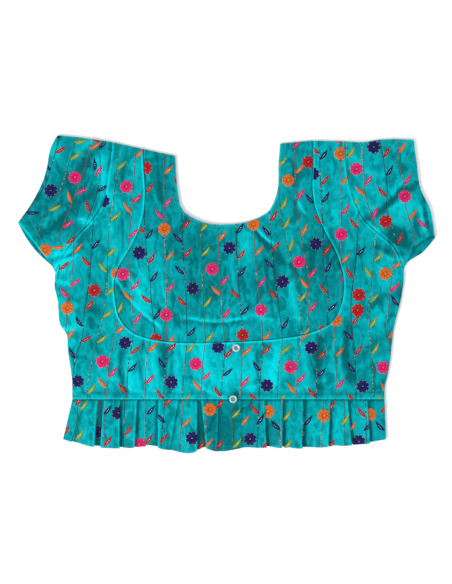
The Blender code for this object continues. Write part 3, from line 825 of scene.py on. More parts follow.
def between_edges(arm, cuff, fold, under):
    """Points of a patch whose four edges are given: arm to cuff along the first index, fold to
    underarm along the second."""
    u = np.linspace(0, 1, len(fold))[:, None, None]
    w = np.linspace(0, 1, len(arm))[None, :, None]
    edges = (1 - u) * arm[None] + u * cuff[None] + (1 - w) * fold[:, None] + w * under[:, None]
    corners = (
        (1 - u) * (1 - w) * arm[0] + (1 - u) * w * arm[-1]
        + u * (1 - w) * cuff[0] + u * w * cuff[-1]
    )
    return edges - corners


def drawn_back(patch, stop_short):
    """The patch drawn back from the cuff, most at the middle of the cuff's edge."""
    rows, columns = patch.shape[:2]
    drawn = patch.copy()
    for j in range(columns):
        line = patch[:, j]
        along = distance_along(line)
        short = stop_short * math.sin(math.pi * j / (columns - 1))
        at = np.linspace(0, 1, rows) * max(along[-1] - short, 0.5 * along[-1])
        drawn[:, j] = np.stack([np.interp(at, along, line[:, k]) for k in (0, 1)], axis=1)
    return drawn


def sleeve_patches(armhole, fold, corner, cuff, show, sign):
    """Plan places of a sleeve's upper layer and its lower one."""
    arm = moved_left(armhole_line(armhole), -sign * SEAM_GAP / 2)
    end = matched(cuff, (0, len(cuff) - 1), (ARMHOLE_STEPS,))
    before = ALONG_SLEEVE // 2
    edge = matched(fold, (0, corner, len(fold) - 1), (before, ALONG_SLEEVE - before), corner)
    edge[0] = arm[0]
    under = np.linspace(arm[-1], end[-1], ALONG_SLEEVE + 1)
    patch = between_edges(arm, end, edge, under)
    return drawn_back(patch, show), patch


# Each sleeve's armhole, fold line and its corner row, cuff, width of the lower layer that shows
# beyond the cuff, and side
SLEEVES = {
    "sleeve_left": (
        ARMHOLE_LEFT, SLEEVE_FOLD_LEFT, FOLD_CORNER_LEFT, CUFF_LEFT, CUFF_SHOW_LEFT, 1
    ),
    "sleeve_right": (
        ARMHOLE_RIGHT, SLEEVE_FOLD_RIGHT, FOLD_CORNER_RIGHT, CUFF_RIGHT, CUFF_SHOW_RIGHT, -1
    ),
}


def sleeve_layers():
    return {name: sleeve_patches(*parts) for name, parts in SLEEVES.items()}


def patch_outline(patch):
    return np.vstack([patch[0], patch[1:, -1], patch[-1][::-1], patch[::-1, 0]])


def row_depth(over):
    """Mean distance between two rows of a sleeve's top layer, down its middle."""
    return np.linalg.norm(np.diff(over[:, over.shape[1] // 2], axis=0), axis=1).mean()


def cuff_turn(row, rows, depth):
    """The cuff's turned hem: a stitched groove one hem's depth up from the edge."""
    up = np.array((rows - 1 - row) * depth)
    return 0.3 * smooth_step(up, 12.0, 9.0) - bump(up - CUFF_STITCH, 0.35, 1.4)


def sleeve_ring(over, beneath, inset, lift):
    """One section of the sleeve's wall: the top layer, the underarm fold and the layer below."""
    across = over[-1] - over[0]
    across /= np.linalg.norm(across)
    x, y = over[:, 0], over[:, 1]
    top = np.column_stack([over, sleeve_height(x, y) + lift - inset])
    x, y = beneath[::-1, 0], beneath[::-1, 1]
    base = np.column_stack([beneath[::-1], BACK_LIFT + inset + 0 * x])
    middle = 0.5 * (FRONT_TOP + 0.25)
    for line, first in ((top, 1), (base, -1)):
        line[0, :2] += first * (0.7 + inset) * across
        line[-1, :2] -= first * (0.7 + inset) * across
    fold_a = np.array([*(over[0] + inset * across), middle])
    fold_b = np.array([*(over[-1] - inset * across), middle])
    return np.vstack([fold_a[None], top, fold_b[None], base])


# Painted light on the upper cuff's edge: a painted highlight on the left one, painted shade on the
# right one
CUFF_EDGE_PAINTED_LIGHT_AND_SHADE = {"sleeve_left": 0.6, "sleeve_right": -0.7}


def lay_sleeve(name, patches, thickness, material):
    """A short set-in sleeve pressed flat: a tube open at the armhole and the cuff."""
    over, patch = patches
    rows, across = over.shape[:2]
    lifts = [float(cuff_turn(i, rows, row_depth(over))) for i in range(rows)]
    outer = np.array([sleeve_ring(a, b, 0.0, up) for a, b, up in zip(over, patch, lifts)])
    inner = np.array([sleeve_ring(a, b, thickness, up) for a, b, up in zip(over, patch, lifts)])
    more = np.zeros((2, rows, outer.shape[1]))
    # A painted highlight or painted shade on the upper layer's edge at the cuff
    more[:, -1:, 1 : across + 1] += CUFF_EDGE_PAINTED_LIGHT_AND_SHADE[name]
    # Painted shade on the inside of the lower layer where it shows past the upper one at the cuff
    more[1, -12:, across + 2 :] -= 0.15
    piece = cloth_object(
        name + "_cloth", outer, inner, material, wrap=True, painted_edge_light_and_shade=sleeve_painted_light_and_shade,
        more_painted_light_and_shade=more.ravel(),
    )
    dress(piece, name)
    return piece


def fold_profile(turn, straight):
    """A pleat's edge from its upper run to its lower one, as x and height above the lower run.
    Two arcs and a straight piece turn the cloth under and back; x is 0 at the visible edge."""
    radius = PLEAT_RADIUS
    arc = [turn * i / PLEAT_ARC_STEPS for i in range(PLEAT_ARC_STEPS + 1)]
    reach = radius * math.sin(min(turn, math.pi / 2)) + WALL / 2
    upper = [(radius * math.sin(a) - reach, -radius * (1 - math.cos(a))) for a in arc]
    x, z = upper[-1]
    x += straight * math.cos(turn)
    z -= straight * math.sin(turn)
    lower = [
        (
            x + radius * (math.sin(turn) - math.sin(turn - a)),
            z - radius * (math.cos(turn - a) - math.cos(turn)),
        )
        for a in arc
    ]
    path = upper + lower
    return [(px, pz - path[-1][1]) for px, pz in path]


def pleat_at(pleat, down):
    """The pleat's path at a share of the way from waist to hem."""
    _, waist_x, hem_x, faces, turn_hem, underlay = pleat
    turn = PLEAT_TURN_AT_WAIST + (turn_hem - PLEAT_TURN_AT_WAIST) * down**0.7
    straight = underlay * float(smooth_step(turn, 100, 165)) + 0.5
    path = fold_profile(math.radians(turn), straight)
    edge = waist_x + (hem_x - waist_x) * down
    if faces < 0:
        path = [(-x, z) for x, z in reversed(path)]
    return [(edge + x, z) for x, z in path]


def run_between(start, end, rise_from, rise_to):
    """The cloth between two pleats, rising or falling only where no fold lies under or over it."""
    (xa, za), (xb, zb) = start, end
    run = []
    for i in range(1, PLEAT_RUN_STEPS):
        x = xa + (xb - xa) * i / PLEAT_RUN_STEPS
        rise = float(smooth_step(x, rise_from, max(rise_to, rise_from + 0.5)))
        run.append((x, za + (zb - za) * rise))
    return run


def peplum_section(down, pleats, start, end, end_z):
    """Centre line of the pleated cloth across the peplum, as x and height above its lowest run,
    and the point numbers where each run between two pleats begins."""
    (start_x, level_start), (end_x, level_end) = start, end
    line = [(start_x, 0.0)]
    if level_start > 0:
        line.append((start_x + level_start, 0.0))
    begins = [0]
    last_edge = line[-1][0]
    for pleat in pleats:
        path, faces = pleat_at(pleat, down), pleat[3]
        visible = max(x for x, _ in path) if faces > 0 else min(x for x, _ in path)
        if faces > 0:
            line += run_between(line[-1], path[0], last_edge + PLEAT_CLEARANCE, path[0][0])
        else:
            line += run_between(line[-1], path[0], last_edge, visible - PLEAT_CLEARANCE)
        line += path
        begins.append(len(line) - 1)
        last_edge = visible
    level = end_x - level_end
    line += run_between(line[-1], (level, end_z), last_edge + PLEAT_CLEARANCE, level)
    line.append((level, end_z))
    if level_end > 0:
        line.append((end_x, end_z))
    return np.array(line), begins


HEM_LINE = smooth_line(HEM)


def hem_y(x):
    return np.interp(x, HEM_LINE[:, 0], HEM_LINE[:, 1])


def peplum_offset(x, y):
    """Height that creases and the turned hem add to the pleated cloth."""
    up = y - hem_y(x)
    hem = 0.22 * smooth_step(up, 8.5, 6.0) - bump(up - HEM_STITCH, 0.22, 0.8)
    return crease_height(x, y, PEPLUM_CREASES) + hem


def peplum_grid(pleats, left, right, level, end_z):
    """Rows of the pleated cloth's centre line from waist to hem, with the side's slopes."""
    rows = []
    for down in np.linspace(0, 1, PEPLUM_ROWS + 1):
        start = left[0] + (left[1] - left[0]) * down
        end = right[0] + (right[1] - right[0]) * down
        line, begins = peplum_section(down, pleats, (start, level[0]), (end, level[1]), end_z)
        short = HEM_STEP * (1 - np.minimum(line[:, 1] / 3.0, 1.0))
        reach = hem_y(line[:, 0]) + short - PEPLUM_TOP_Y
        rows.append((line, left_of(line), down * reach, begins))
    return rows


def lay_peplum(name, thickness, material):
    """A pleated strip below the waist seam, with pressed folds that open towards the hem."""
    upper, lower, lengths, depths = [], [], [], []
    for line, out, drop, _ in peplum_grid(*PEPLUMS[name]):
        y = PEPLUM_TOP_Y + drop
        z = PEPLUM_MIDDLE + line[:, 1] + peplum_offset(line[:, 0], y)
        for rows, way in ((upper, thickness / 2), (lower, -thickness / 2)):
            rows.append(np.column_stack([line[:, 0] + way * out[:, 0], y, z + way * out[:, 1]]))
        lengths.append(length_of(line))
        depths.append(-np.array([np.mean(drop), np.min(drop)]))
    upper, lower, tone = np.array(upper), np.array(lower), pleat_painted_light_and_shadow(PEPLUMS[name][0])
    piece = cloth_object(name + "_cloth", upper, lower, material, painted_edge_light_and_shade=tone)
    dress(piece, name)
    lengths, depths = np.array(lengths), np.array(depths)
    return piece


def lay_peplum_back(thickness, material):
    """The back's strip below the waist, pressed flat on the table."""
    part = np.linspace(0, 1, BACK_PEPLUM_STEPS + 1)
    top_x = PEPLUM_SIDE_LEFT[0] + part * (PEPLUM_SIDE_RIGHT[0] - PEPLUM_SIDE_LEFT[0])
    hem_x = PEPLUM_SIDE_LEFT[1] + part * (PEPLUM_SIDE_RIGHT[1] - PEPLUM_SIDE_LEFT[1])
    top = np.stack([top_x, np.full_like(top_x, PEPLUM_TOP_Y)], axis=1)
    hem = np.stack([hem_x, hem_y(hem_x) + BACK_HEM_SHORT], axis=1)
    return lay_panel(
        "peplum_back_cloth", (top, hem), DOWN_BACK_PEPLUM, back_height, thickness, material,
        "peplum_back",
    )


# The embroidered repeat, charted in units of CHART millimetres. Under each vine: the
# motif, its colour, the side of the vine it stands on, and its place down it.
CHART = 1.302
CHART_MIDDLE = (226.5, 294)
REPEAT_LENGTH = 172
REPEAT = {
    "A": (
        ("flower", "pink", -1, 0), ("leaf", "pink", 1, 11), ("leaf", "orange", -1, 21),
        ("leaf", "pink", 1, 45), ("leaf", "orange", 1, 76), ("flower", "orange", -1, 86),
        ("leaf", "pink", 1, 98), ("leaf", "orange", 1, 139),
    ),
    "B": (
        ("flower", "navy", -1, -20), ("leaf", "red", 1, -14), ("leaf", "navy", 1, 4),
        ("leaf", "red", -1, 25), ("leaf", "navy", 1, 42), ("flower", "red", 0, 67),
        ("leaf", "red", 1, 87), ("leaf", "navy", -1, 108), ("leaf", "red", -1, 127),
        ("leaf", "navy", 1, 133),
    ),
    "D": (
        ("flower", "orange", 0, -43), ("leaf", "orange", 1, -17), ("leaf", "pink", 1, 15),
        ("flower", "pink", 0, 43), ("leaf", "orange", 1, 69), ("leaf", "pink", 1, 102),
        ("leaf", "pink", -1, 114),
    ),
    "E": (
        ("leaf", "navy", -1, -2), ("flower", "navy", 1, 17), ("leaf", "red", -1, 29),
        ("leaf", "navy", 1, 60), ("leaf", "red", -1, 83), ("flower", "red", 1, 102),
        ("leaf", "red", 1, 124), ("leaf", "navy", -1, 138), ("leaf", "red", 1, 153),
    ),
    "C": (
        ("leaf", "green", 1, 33), ("leaf", "green", 1, 68), ("leaf", "green", -1, 84),
        ("leaf", "green", 1, 106), ("leaf", "green", 1, 129), ("leaf", "green", 1, 154),
    ),
}
VINE_COLOURS = {"A": "russet", "D": "russet", "B": "ink", "E": "ink", "C": "moss"}

# Vines on each panel of the front and sleeves: vine of the repeat, chart row where the repeat
# starts, its stretch, and the places that the vine runs through
VINES = {
    "front_bib": (
        ("C", 276, 1.0, ((110, 262), (113, 295), (119, 328))),
        ("A", 274, 1.0, ((126, 240), (127, 256), (129.4, 269), (133.2, 317), (135.8, 338))),
        ("B", 273, 1.0, ((146, 140), (146.6, 255), (149.5, 276), (151, 298), (156.3, 344))),
        ("D", 272, 1.0, ((164, 140), (164, 210), (166.2, 288), (166.3, 345))),
        ("E", 271.6, 1.0, ((182, 150), (182, 215), (183, 254), (185, 280), (187.4, 346))),
        ("C", 269, 1.0, ((200, 210), (203, 294), (205.6, 346))),
        ("A", 269, 1.0, ((217.5, 215), (218.4, 251), (224.7, 346))),
        ("B", 268, 1.0, ((235.5, 215), (236.6, 251), (243.5, 346))),
        ("D", 267, 1.0, ((253, 210), (254.8, 251), (258.1, 288), (260, 301), (263, 346))),
        ("E", 264.6, 1.0, ((269, 150), (269.5, 215), (283.3, 346))),
        ("C", 264, 1.0, ((278, 136), (278.3, 180), (279.1, 195), (283.7, 231.8), (286.5, 244),
            (291.5, 259), (295.5, 275), (299.2, 304), (302.3, 342))),
        ("A", 262, 1.0, ((294.5, 136), (295.8, 188), (302.1, 243.3), (308.3, 275), (308.8, 298),
            (306.9, 340))),
        ("B", 264, 1.0, ((319, 150), (321, 200), (323, 230), (323.1, 260), (328, 292),
            (327.4, 317), (326, 336))),
        ("D", 262, 1.0, ((340.8, 250), (341, 285), (341, 318))),
    ),
    "front_side_left": (
        ("A", 361.5, 1.017, ((136, 136), (134.5, 170), (117.4, 321), (113, 346), (110.8, 355),
            (107.4, 384), (106.2, 401))),
        ("C", 356, 1.01, ((119, 136), (115, 187), (108.5, 235), (107.4, 255), (106.9, 285),
            (96.9, 342), (93, 356), (90.2, 369.6), (87.3, 389), (86.8, 401))),
        ("E", 356, 1.0, ((100, 170), (91.8, 240), (90.2, 269), (88.3, 288), (83.5, 317),
            (82.5, 334), (80.1, 344), (76.8, 353), (73, 374), (72, 401))),
        ("D", 351, 1.0, ((78, 215), (74.5, 235), (72.5, 269), (68.2, 300), (65.8, 333),
            (66.5, 350))),
        ("B", 350, 1.0, ((62, 240), (60, 262), (57, 280))),
        ("B", 363, 1.0, ((135, 326), (127.5, 374), (126.8, 401))),
        ("D", 364, 1.0, ((151, 333), (146.2, 365), (144.7, 401))),
        ("E", 365.2, 1.0, ((169, 336), (163.8, 389), (163.5, 401))),
        ("C", 365.2, 1.0, ((187.5, 336), (182.5, 394), (182.3, 401))),
        ("A", 364, 1.0, ((205.5, 336), (201.7, 377), (200.7, 401))),
        ("B", 367, 1.0, ((226, 336), (223.2, 370), (221.7, 384), (221, 401))),
        ("D", 367, 1.0, ((244, 336), (241.8, 365), (239.7, 401))),
    ),
    "front_side_right": (
        ("D", 367, 1.0, ((244, 336), (241.8, 365), (239.7, 401))),
        ("E", 368.5, 1.0, ((263, 336), (261, 365), (258.8, 401))),
        ("C", 366.5, 1.0, ((282.5, 332), (282, 346), (280.1, 355), (277, 401))),
        ("A", 367, 1.0, ((302, 330), (297.8, 365), (295.7, 401))),
        ("B", 366, 1.0, ((318.5, 138), (321.5, 200), (323.5, 230))),
        ("B", 367.8, 1.0, ((322, 320), (319.8, 334), (317.9, 353), (316.2, 401))),
        ("D", 368.5, 1.0, ((340.5, 136), (341, 250), (340, 290), (335.1, 325), (336.1, 374),
            (335.5, 401))),
        ("E", 369.5, 1.0, ((360, 160), (359, 200), (354.2, 274), (352.3, 288), (350.9, 307),
            (351.4, 325), (354.7, 355), (355.7, 401))),
        ("C", 367.5, 1.0, ((378, 200), (371.5, 282), (369.5, 298), (369.1, 315), (372.9, 374),
            (373.4, 401))),
        ("A", 367.5, 1.01, ((396.5, 205), (393, 267), (388.7, 304), (387.2, 325), (390.1, 353),
            (388, 401))),
        ("B", 369, 1.0, ((410, 235), (405.4, 274), (400.6, 293), (398, 312))),
    ),
    "sleeve_left": (
        ("A", 177.4, 1.0, ((93, 136), (88, 156), (82, 177.4), (79, 186), (70, 208), (57, 241))),
        ("C", 172.5, 1.0, ((78, 134), (68, 166), (61, 188), (48, 212), (34.5, 241))),
        ("E", 167.5, 1.0, ((61, 132), (52, 163), (46, 183), (33, 203), (18, 224))),
        ("B", 182.5, 1.0, ((98.5, 136), (99, 183), (93, 205), (85.5, 224), (78, 245))),
        ("D", 163, 1.0, ((47, 160), (38, 185), (25, 205), (16, 218))),
    ),
    "sleeve_right": (
        ("C", 171, 1.0, ((346.5, 138), (349, 190), (352, 215))),
        ("A", 169, 1.0, ((361, 136), (363.5, 169), (366.5, 200), (371, 215), (379, 245))),
        ("B", 167, 1.0, ((379, 136), (384.8, 170), (387.2, 190.6), (386.6, 208.8), (392, 225),
            (397, 245))),
        ("D", 165, 1.0, ((397.5, 136), (400, 166.4), (403.6, 183.3), (404.8, 202.7),
            (409, 219.7), (416.3, 245))),
    ),
}

# Places on the chart where a fold or a seam hides a motif of the repeat, and how near that is
HIDDEN_REACH = 6.5
TUCKED_AWAY = {
    "front_bib": (
        (278, 195), (234, 225), (341, 305), (326, 331),
    ),
    "sleeve_left": (
        (92.7, 162.5), (104.5, 169), (52.2, 184.5), (45.5, 180.4), (24.8, 225.7), (35, 199.5),
        (29, 208.4), (39, 240),
    ),
    "front_side_left": (
        (104.5, 169), (80.2, 372.8), (95.6, 286), (86, 266.5), (89.2, 309),
    ),
    "front_side_right": (
        (345, 294), (358.6, 305), (335.1, 324), (324.6, 330),
    ),
    "sleeve_right": (
        (409, 207), (397, 234), (393, 209), (387, 222), (416, 193), (422, 233), (404, 220),
        (412, 222),
    ),
}

# Motifs that a fold has moved off the repeat's place: motif, colour, lean (1 right), place
MOVED_MOTIFS = {
    "front_side_right": (
        ("flower", "red", 0, 357.8, 310.2), ("flower", "orange", 0, 336.3, 320.3),
    ),
    "front_bib": (
        ("flower", "red", 0, 323.5, 331.5), ("flower", "pink", 0, 345, 305),
        ("flower", "red", 0, 308.4, 162), ("leaf", "navy", -1, 309.6, 199),
        ("leaf", "pink", 1, 297.5, 143),
    ),
    "front_side_left": (
        ("flower", "navy", 0, 77.8, 381.3), ("flower", "red", 0, 94.4, 290.6),
        ("leaf", "red", -1, 86.1, 261.2), ("leaf", "red", 1, 90.3, 305),
    ),
    "sleeve_left": (
        ("leaf", "navy", 0, 94.6, 164.4), ("leaf", "pink", 0.8, 98.8, 170),
        ("flower", "navy", 0, 50.6, 190.6), ("leaf", "navy", 2.1, 33, 212.9),
        ("leaf", "green", 1.8, 81, 141), ("flower", "orange", 0, 45.2, 250),
        ("leaf", "orange", 2.0, 58.5, 247.6), ("leaf", "red", 1.3, 71.2, 240.3),
        ("leaf", "pink", 0.7, 61.5, 263),
    ),
    "sleeve_right": (
        ("flower", "pink", 0, 404.8, 196.4), ("flower", "red", 0, 385.6, 221.5),
        ("leaf", "orange", 0.9, 413.3, 214.2), ("leaf", "pink", -1.1, 421.8, 223.3),
        ("leaf", "red", 0.6, 400, 237.9),
    ),
}

# The peplum's vines: colour, place across at the waist and at the hem
PEPLUM_VINES = {
    "peplum_front_left": (
        ("moss", 78, 75), ("russet", 98.5, 94.5), ("russet", 103.5, 104.5), ("ink", 124.6, 123.6),
        ("russet", 145.6, 144.8), ("ink", 164.8, 160.2), ("russet", 183.2, 179),
        ("russet", 209.5, 203), ("moss", 232, 233),
    ),
    "peplum_front_right": (
        ("ink", 259.4, 256.6), ("russet", 282.4, 280.4), ("ink", 303.2, 302.4),
        ("russet", 323.8, 320.6), ("moss", 344.6, 344.2), ("ink", 365.4, 367),
    ),
}

# The peplum's motifs, charted like the repeat: motif, colour, lean (1 right), place
PEPLUM_MOTIFS = {
    "peplum_front_left": (
        ("leaf", "green", 1, 84, 405.5), ("leaf", "red", 1, 79.5, 401),
        ("leaf", "green", 1, 80, 435), ("leaf", "red", 1, 66, 431), ("flower", "navy", 0, 100, 432),
        ("leaf", "navy", 1, 108, 410), ("leaf", "red", 1, 108.5, 441),
        ("flower", "navy", 0, 118.5, 413), ("leaf", "red", 1, 129, 430.5),
        ("flower", "pink", 0, 139.5, 444.5), ("leaf", "navy", 1, 151, 410),
        ("leaf", "red", 1, 149, 440), ("leaf", "navy", -1, 160.5, 418),
        ("leaf", "red", 1, 168.5, 401.5), ("leaf", "red", 1, 164, 438),
        ("leaf", "orange", 1, 187, 421.5), ("flower", "navy", 0, 192.5, 438),
        ("leaf", "red", 1, 201.5, 445), ("flower", "orange", 0, 210, 409.5),
        ("leaf", "orange", 1, 209, 442), ("leaf", "red", 1, 220.5, 404),
        ("leaf", "red", 1, 219.5, 445), ("leaf", "green", 1, 236.5, 413),
        ("leaf", "green", 1, 237.5, 443),
    ),
    "peplum_front_right": (
        ("leaf", "orange", 1, 245, 421), ("flower", "navy", 0, 250, 439),
        ("leaf", "red", -1, 254.5, 409.5), ("flower", "orange", 0, 268, 411.5),
        ("leaf", "navy", 1, 261, 420), ("leaf", "red", 1, 266, 444), ("leaf", "navy", -1, 276, 425),
        ("leaf", "green", 1, 287.5, 416), ("leaf", "green", 1, 288.5, 444.5),
        ("leaf", "navy", 1, 308.5, 421), ("flower", "orange", 0, 324, 415.5),
        ("leaf", "red", 1, 331.5, 406.5), ("leaf", "red", 1, 331, 444),
        ("leaf", "green", 1, 346, 420), ("leaf", "orange", 1, 352.5, 427),
        ("flower", "navy", 0, 359, 441.5), ("leaf", "red", -1, 361.5, 412.5),
        ("flower", "orange", 0, 370, 414.5), ("leaf", "navy", 1, 368.5, 426),
        ("leaf", "navy", -1, 380, 426), ("leaf", "red", 1, 384.5, 408),
    ),
}

# How far a leaf leans off its vine, and its reach and a flower's radius, in millimetres
LEAF_LEAN = math.radians(45)
LEAF_LENGTH = 17.5
FLOWER_RADIUS = 8.6
FLOWER_OFFSET = 9.3


def charted(place):
    """A place on the chart, in millimetres on the garment."""
    return ((place[0] - CHART_MIDDLE[0]) * CHART, (CHART_MIDDLE[1] - place[1]) * CHART)


def vine_path(places):
    return smooth_line([charted(place) for place in places])


def vine_place(path, y):
    """The point on a vine at a height, and the vine's upward direction there."""
    order = path[::-1]
    x = np.interp(y, order[:, 1], order[:, 0])
    dx = np.interp(y + 4, order[:, 1], order[:, 0]) - np.interp(y - 4, order[:, 1], order[:, 0])
    return np.array([x, y]), math.atan2(8.0, dx)


# Where the cloth is pulled along its vines: from and to across the chart, row, reach, rows down
PULLS = {
    "front_side_right": (
        (335, 452, 268, 45, -7.5),
    ),
    "front_bib": (
        (270, 300, 195, 30, 6.5),
    ),
}


def vine_motifs(vine, row, stretch, path, pulls=()):
    """Motifs that the repeat sets along one vine: kind, colour, side, x, y and turn."""
    found = []
    for motif, colour, side, along in REPEAT[vine]:
        for turn in (-2, -1, 0, 1):
            place = row + stretch * (along + turn * REPEAT_LENGTH)
            pull = sum(down * math.exp(-(((place - at) / reach) ** 2)) for at, reach, down in pulls)
            y = charted((0, place + pull))[1]
            if not path[-1][1] - 6 < y < path[0][1] + 6:
                continue
            if motif == "leaf":
                base, up = vine_place(path, y - 0.36 * LEAF_LENGTH)
                found.append(("leaf", colour, side, *base, up - side * LEAF_LEAN))
            else:
                centre, up = vine_place(path, y)
                centre[0] += side * FLOWER_OFFSET
                found.append(("flower", colour, side, *centre, up))
    return found


def motif_centre(motif):
    kind, _, _, x, y, turn = motif
    reach = 0.5 * LEAF_LENGTH if kind == "leaf" else 0.0
    return np.array([x + reach * math.cos(turn), y + reach * math.sin(turn)])


def placed_motif(kind, colour, lean, px, py):
    """A motif whose middle is at a place on the chart."""
    x, y = charted((px, py))
    turn = math.pi / 2 - lean * LEAF_LEAN
    if kind == "leaf":
        x -= 0.5 * LEAF_LENGTH * math.cos(turn)
        y -= 0.5 * LEAF_LENGTH * math.sin(turn)
    return kind, colour, -1 if lean < 0 else 1, x, y, turn


def panel_embroidery(panel):
    """The vines and motifs charted on a front panel or a sleeve."""
    vines, motifs = [], []
    for vine, row, stretch, places in VINES[panel]:
        path = vine_path(places)
        vines.append((VINE_COLOURS[vine], path, 0))
        pulls = [p[2:] for p in PULLS.get(panel, ()) if p[0] < places[0][0] < p[1]]
        motifs += vine_motifs(vine, row, stretch, path, pulls)
    for place in TUCKED_AWAY[panel]:
        hidden = charted(place)
        motifs = [m for m in motifs if np.linalg.norm(motif_centre(m) - hidden) > HIDDEN_REACH]
    motifs += [placed_motif(*motif) for motif in MOVED_MOTIFS[panel]]
    return vines, [(*motif, 0) for motif in motifs]


# The back's vines: their order, how many on each side of the middle, gap and shift on the chart
BACK_ORDER = "ABDEC"
BACK_VINES = 10
BACK_VINE_GAP = 18.2
BACK_VINE_SHIFT = 3


def back_embroidery(top_y, hem_y_low, row):
    """Straight vines down the back, in the repeat's order."""
    vines, motifs = [], []
    low, high = (CHART_MIDDLE[1] - y / CHART for y in (hem_y_low, top_y))
    for i in range(-BACK_VINES, BACK_VINES + 1):
        vine = BACK_ORDER[i % len(BACK_ORDER)]
        x = i * BACK_VINE_GAP + CHART_MIDDLE[0] + BACK_VINE_SHIFT
        path = vine_path([(x, high), (x, (high + low) / 2), (x, low)])
        vines.append((VINE_COLOURS[vine], path, 0))
        motifs += [(*motif, 0) for motif in vine_motifs(vine, row, 1.0, path)]
    return vines, motifs


# Farther across than any side of the garment
BEYOND = 400.0


def peplum_runs(panel):
    """Where each run between two pleats starts, across the waist and across the hem."""
    pleats = PEPLUMS[panel][0]
    return [np.array([-BEYOND, *(pleat[place] for pleat in pleats)]) for place in (1, 2)]


def run_at(panel, x, y):
    """The number of the run that shows at a place on the peplum."""
    waist, hem = peplum_runs(panel)
    down = (PEPLUM_TOP_Y - y) / PEPLUM_DEPTH
    return int(np.searchsorted(waist + down * (hem - waist), x) - 1)


def peplum_embroidery(panel):
    vines, motifs = [], []
    for colour, waist_x, hem_x in PEPLUM_VINES[panel]:
        path = vine_path([(waist_x, 398), ((waist_x + hem_x) / 2, 425), (hem_x, 455)])
        vines.append((colour, path, run_at(panel, *path[len(path) // 2])))
    for motif in PEPLUM_MOTIFS[panel]:
        motifs.append((*placed_motif(*motif), run_at(panel, *charted(motif[3:]))))
    return vines, motifs


def run_limits(panel, run, y):
    """The least and most x at which a run shows between the folds beside it."""
    pleats = PEPLUMS[panel][0]
    down = (PEPLUM_TOP_Y - y) / PEPLUM_DEPTH
    low, high = np.full(len(y), -BEYOND), np.full(len(y), BEYOND)
    for i, (_, waist_x, hem_x, _, turn, _) in enumerate(pleats):
        if turn > 100:
            edge = waist_x + down * (hem_x - waist_x)
            high = np.where(run == i, edge - 0.2, high)
            low = np.where(run == i + 1, edge + 0.2, low)
    return low, high


def flat_under(x, y):
    return BACK_LIFT + 0 * x


def level_at(height):
    return lambda x, y: height + 0 * x


# Way of the embroidery on a face that lies on the table: downwards and pressed flatter
PRESSED_UNDER = -0.4


def drape_on(height, way):
    """A drape that lays embroidery on a face; way is 1 above the face and negative under it."""

    def drape(x, y, z, run):
        return np.column_stack([x, y, height(x, y) + way * z]), np.ones(len(x), bool)

    return drape


def drape_on_peplum(panel, thickness):
    """A drape that lays embroidery on a pleated strip and takes it round the folds."""
    rows = peplum_grid(*PEPLUMS[panel])

    def on_row(row, x, run):
        line, out, _, begins = row
        arc = distance_along(line)
        begin = np.array(begins)[run]
        first = begins[1] - 2 * PLEAT_ARC_STEPS - 1
        anchor = np.where(run > 0, begin, first)
        at = arc[anchor] + x - line[anchor, 0]
        values = [np.interp(at, arc, column) for column in (*line.T, *out.T)]
        return np.array(values), (at > 0) & (at < arc[-1])

    def drape(x, y, z, run):
        placed = np.zeros((len(x), 3))
        low, high = run_limits(panel, run, y)
        z = np.where((x < low) | (x > high), 0.3 * z, z)
        x = np.clip(x, low, high)
        y = np.clip(y, hem_y(x) + 0.3, PEPLUM_TOP_Y)
        kept = (y < PEPLUM_TOP_Y) & (y > hem_y(x) + 0.3)
        down = np.clip((y - PEPLUM_TOP_Y) / (hem_y(x) + 0.5 * HEM_STEP - PEPLUM_TOP_Y), 0, 0.9999)
        at = down * PEPLUM_ROWS
        for i in range(PEPLUM_ROWS):
            some = np.nonzero((at >= i) & (at < i + 1))[0]
            if len(some) == 0:
                continue
            above, fine_a = on_row(rows[i], x[some], run[some])
            below, fine_b = on_row(rows[i + 1], x[some], run[some])
            px, pz, nx, nz = above + (at[some] - i) * (below - above)
            out = 0.5 * thickness + z[some]
            offset = peplum_offset(px, y[some])
            placed[some] = np.column_stack(
                [px + out * nx, y[some], PEPLUM_MIDDLE + pz + offset + out * nz]
            )
            kept[some] &= fine_a & fine_b
        return placed, kept

    return drape


def inside(outline, x, y):
    """Which places lie inside a closed outline."""
    found = np.zeros(len(x), bool)
    for (xa, ya), (xb, yb) in zip(outline, np.roll(outline, -1, axis=0)):
        if ya == yb:
            continue
        crosses = (ya > y) != (yb > y)
        found ^= crosses & (x < xa + (y - ya) * (xb - xa) / (yb - ya))
    return found


def motif_object(name, points, faces, accent, grain):
    """A motif's own mesh, in millimetres: accent is 1 where it is metal and -1 where painted shade
    goes in the gaps between petals, and grain tells how its threads lie."""
    mesh = new_mesh(name, points, faces=faces, fields={"accent": accent, "grain": grain})
    return bpy.data.objects.new(name, face_outwards(mesh))


def stitch_motif(length, width, height):
    """One padded stitch along X."""
    around = 5
    points, faces = [], []
    for share in (-0.28, 0.28):
        for j in range(around):
            angle = 2 * math.pi * j / around + 0.3
            lift = height * (0.35 + 0.5 * math.sin(angle))
            points.append((share * length, 0.5 * width * math.cos(angle), lift))
    points += [(-0.5 * length, 0, 0.1 * height), (0.5 * length, 0, 0.1 * height)]
    faces += quads(2, around, 0, True)
    faces += [(2 * around, (j + 1) % around, j) for j in range(around)]
    faces += [(2 * around + 1, around + j, around + (j + 1) % around) for j in range(around)]
    return motif_object("stitch", points, faces, [0.0] * len(points), [0.0] * len(points))


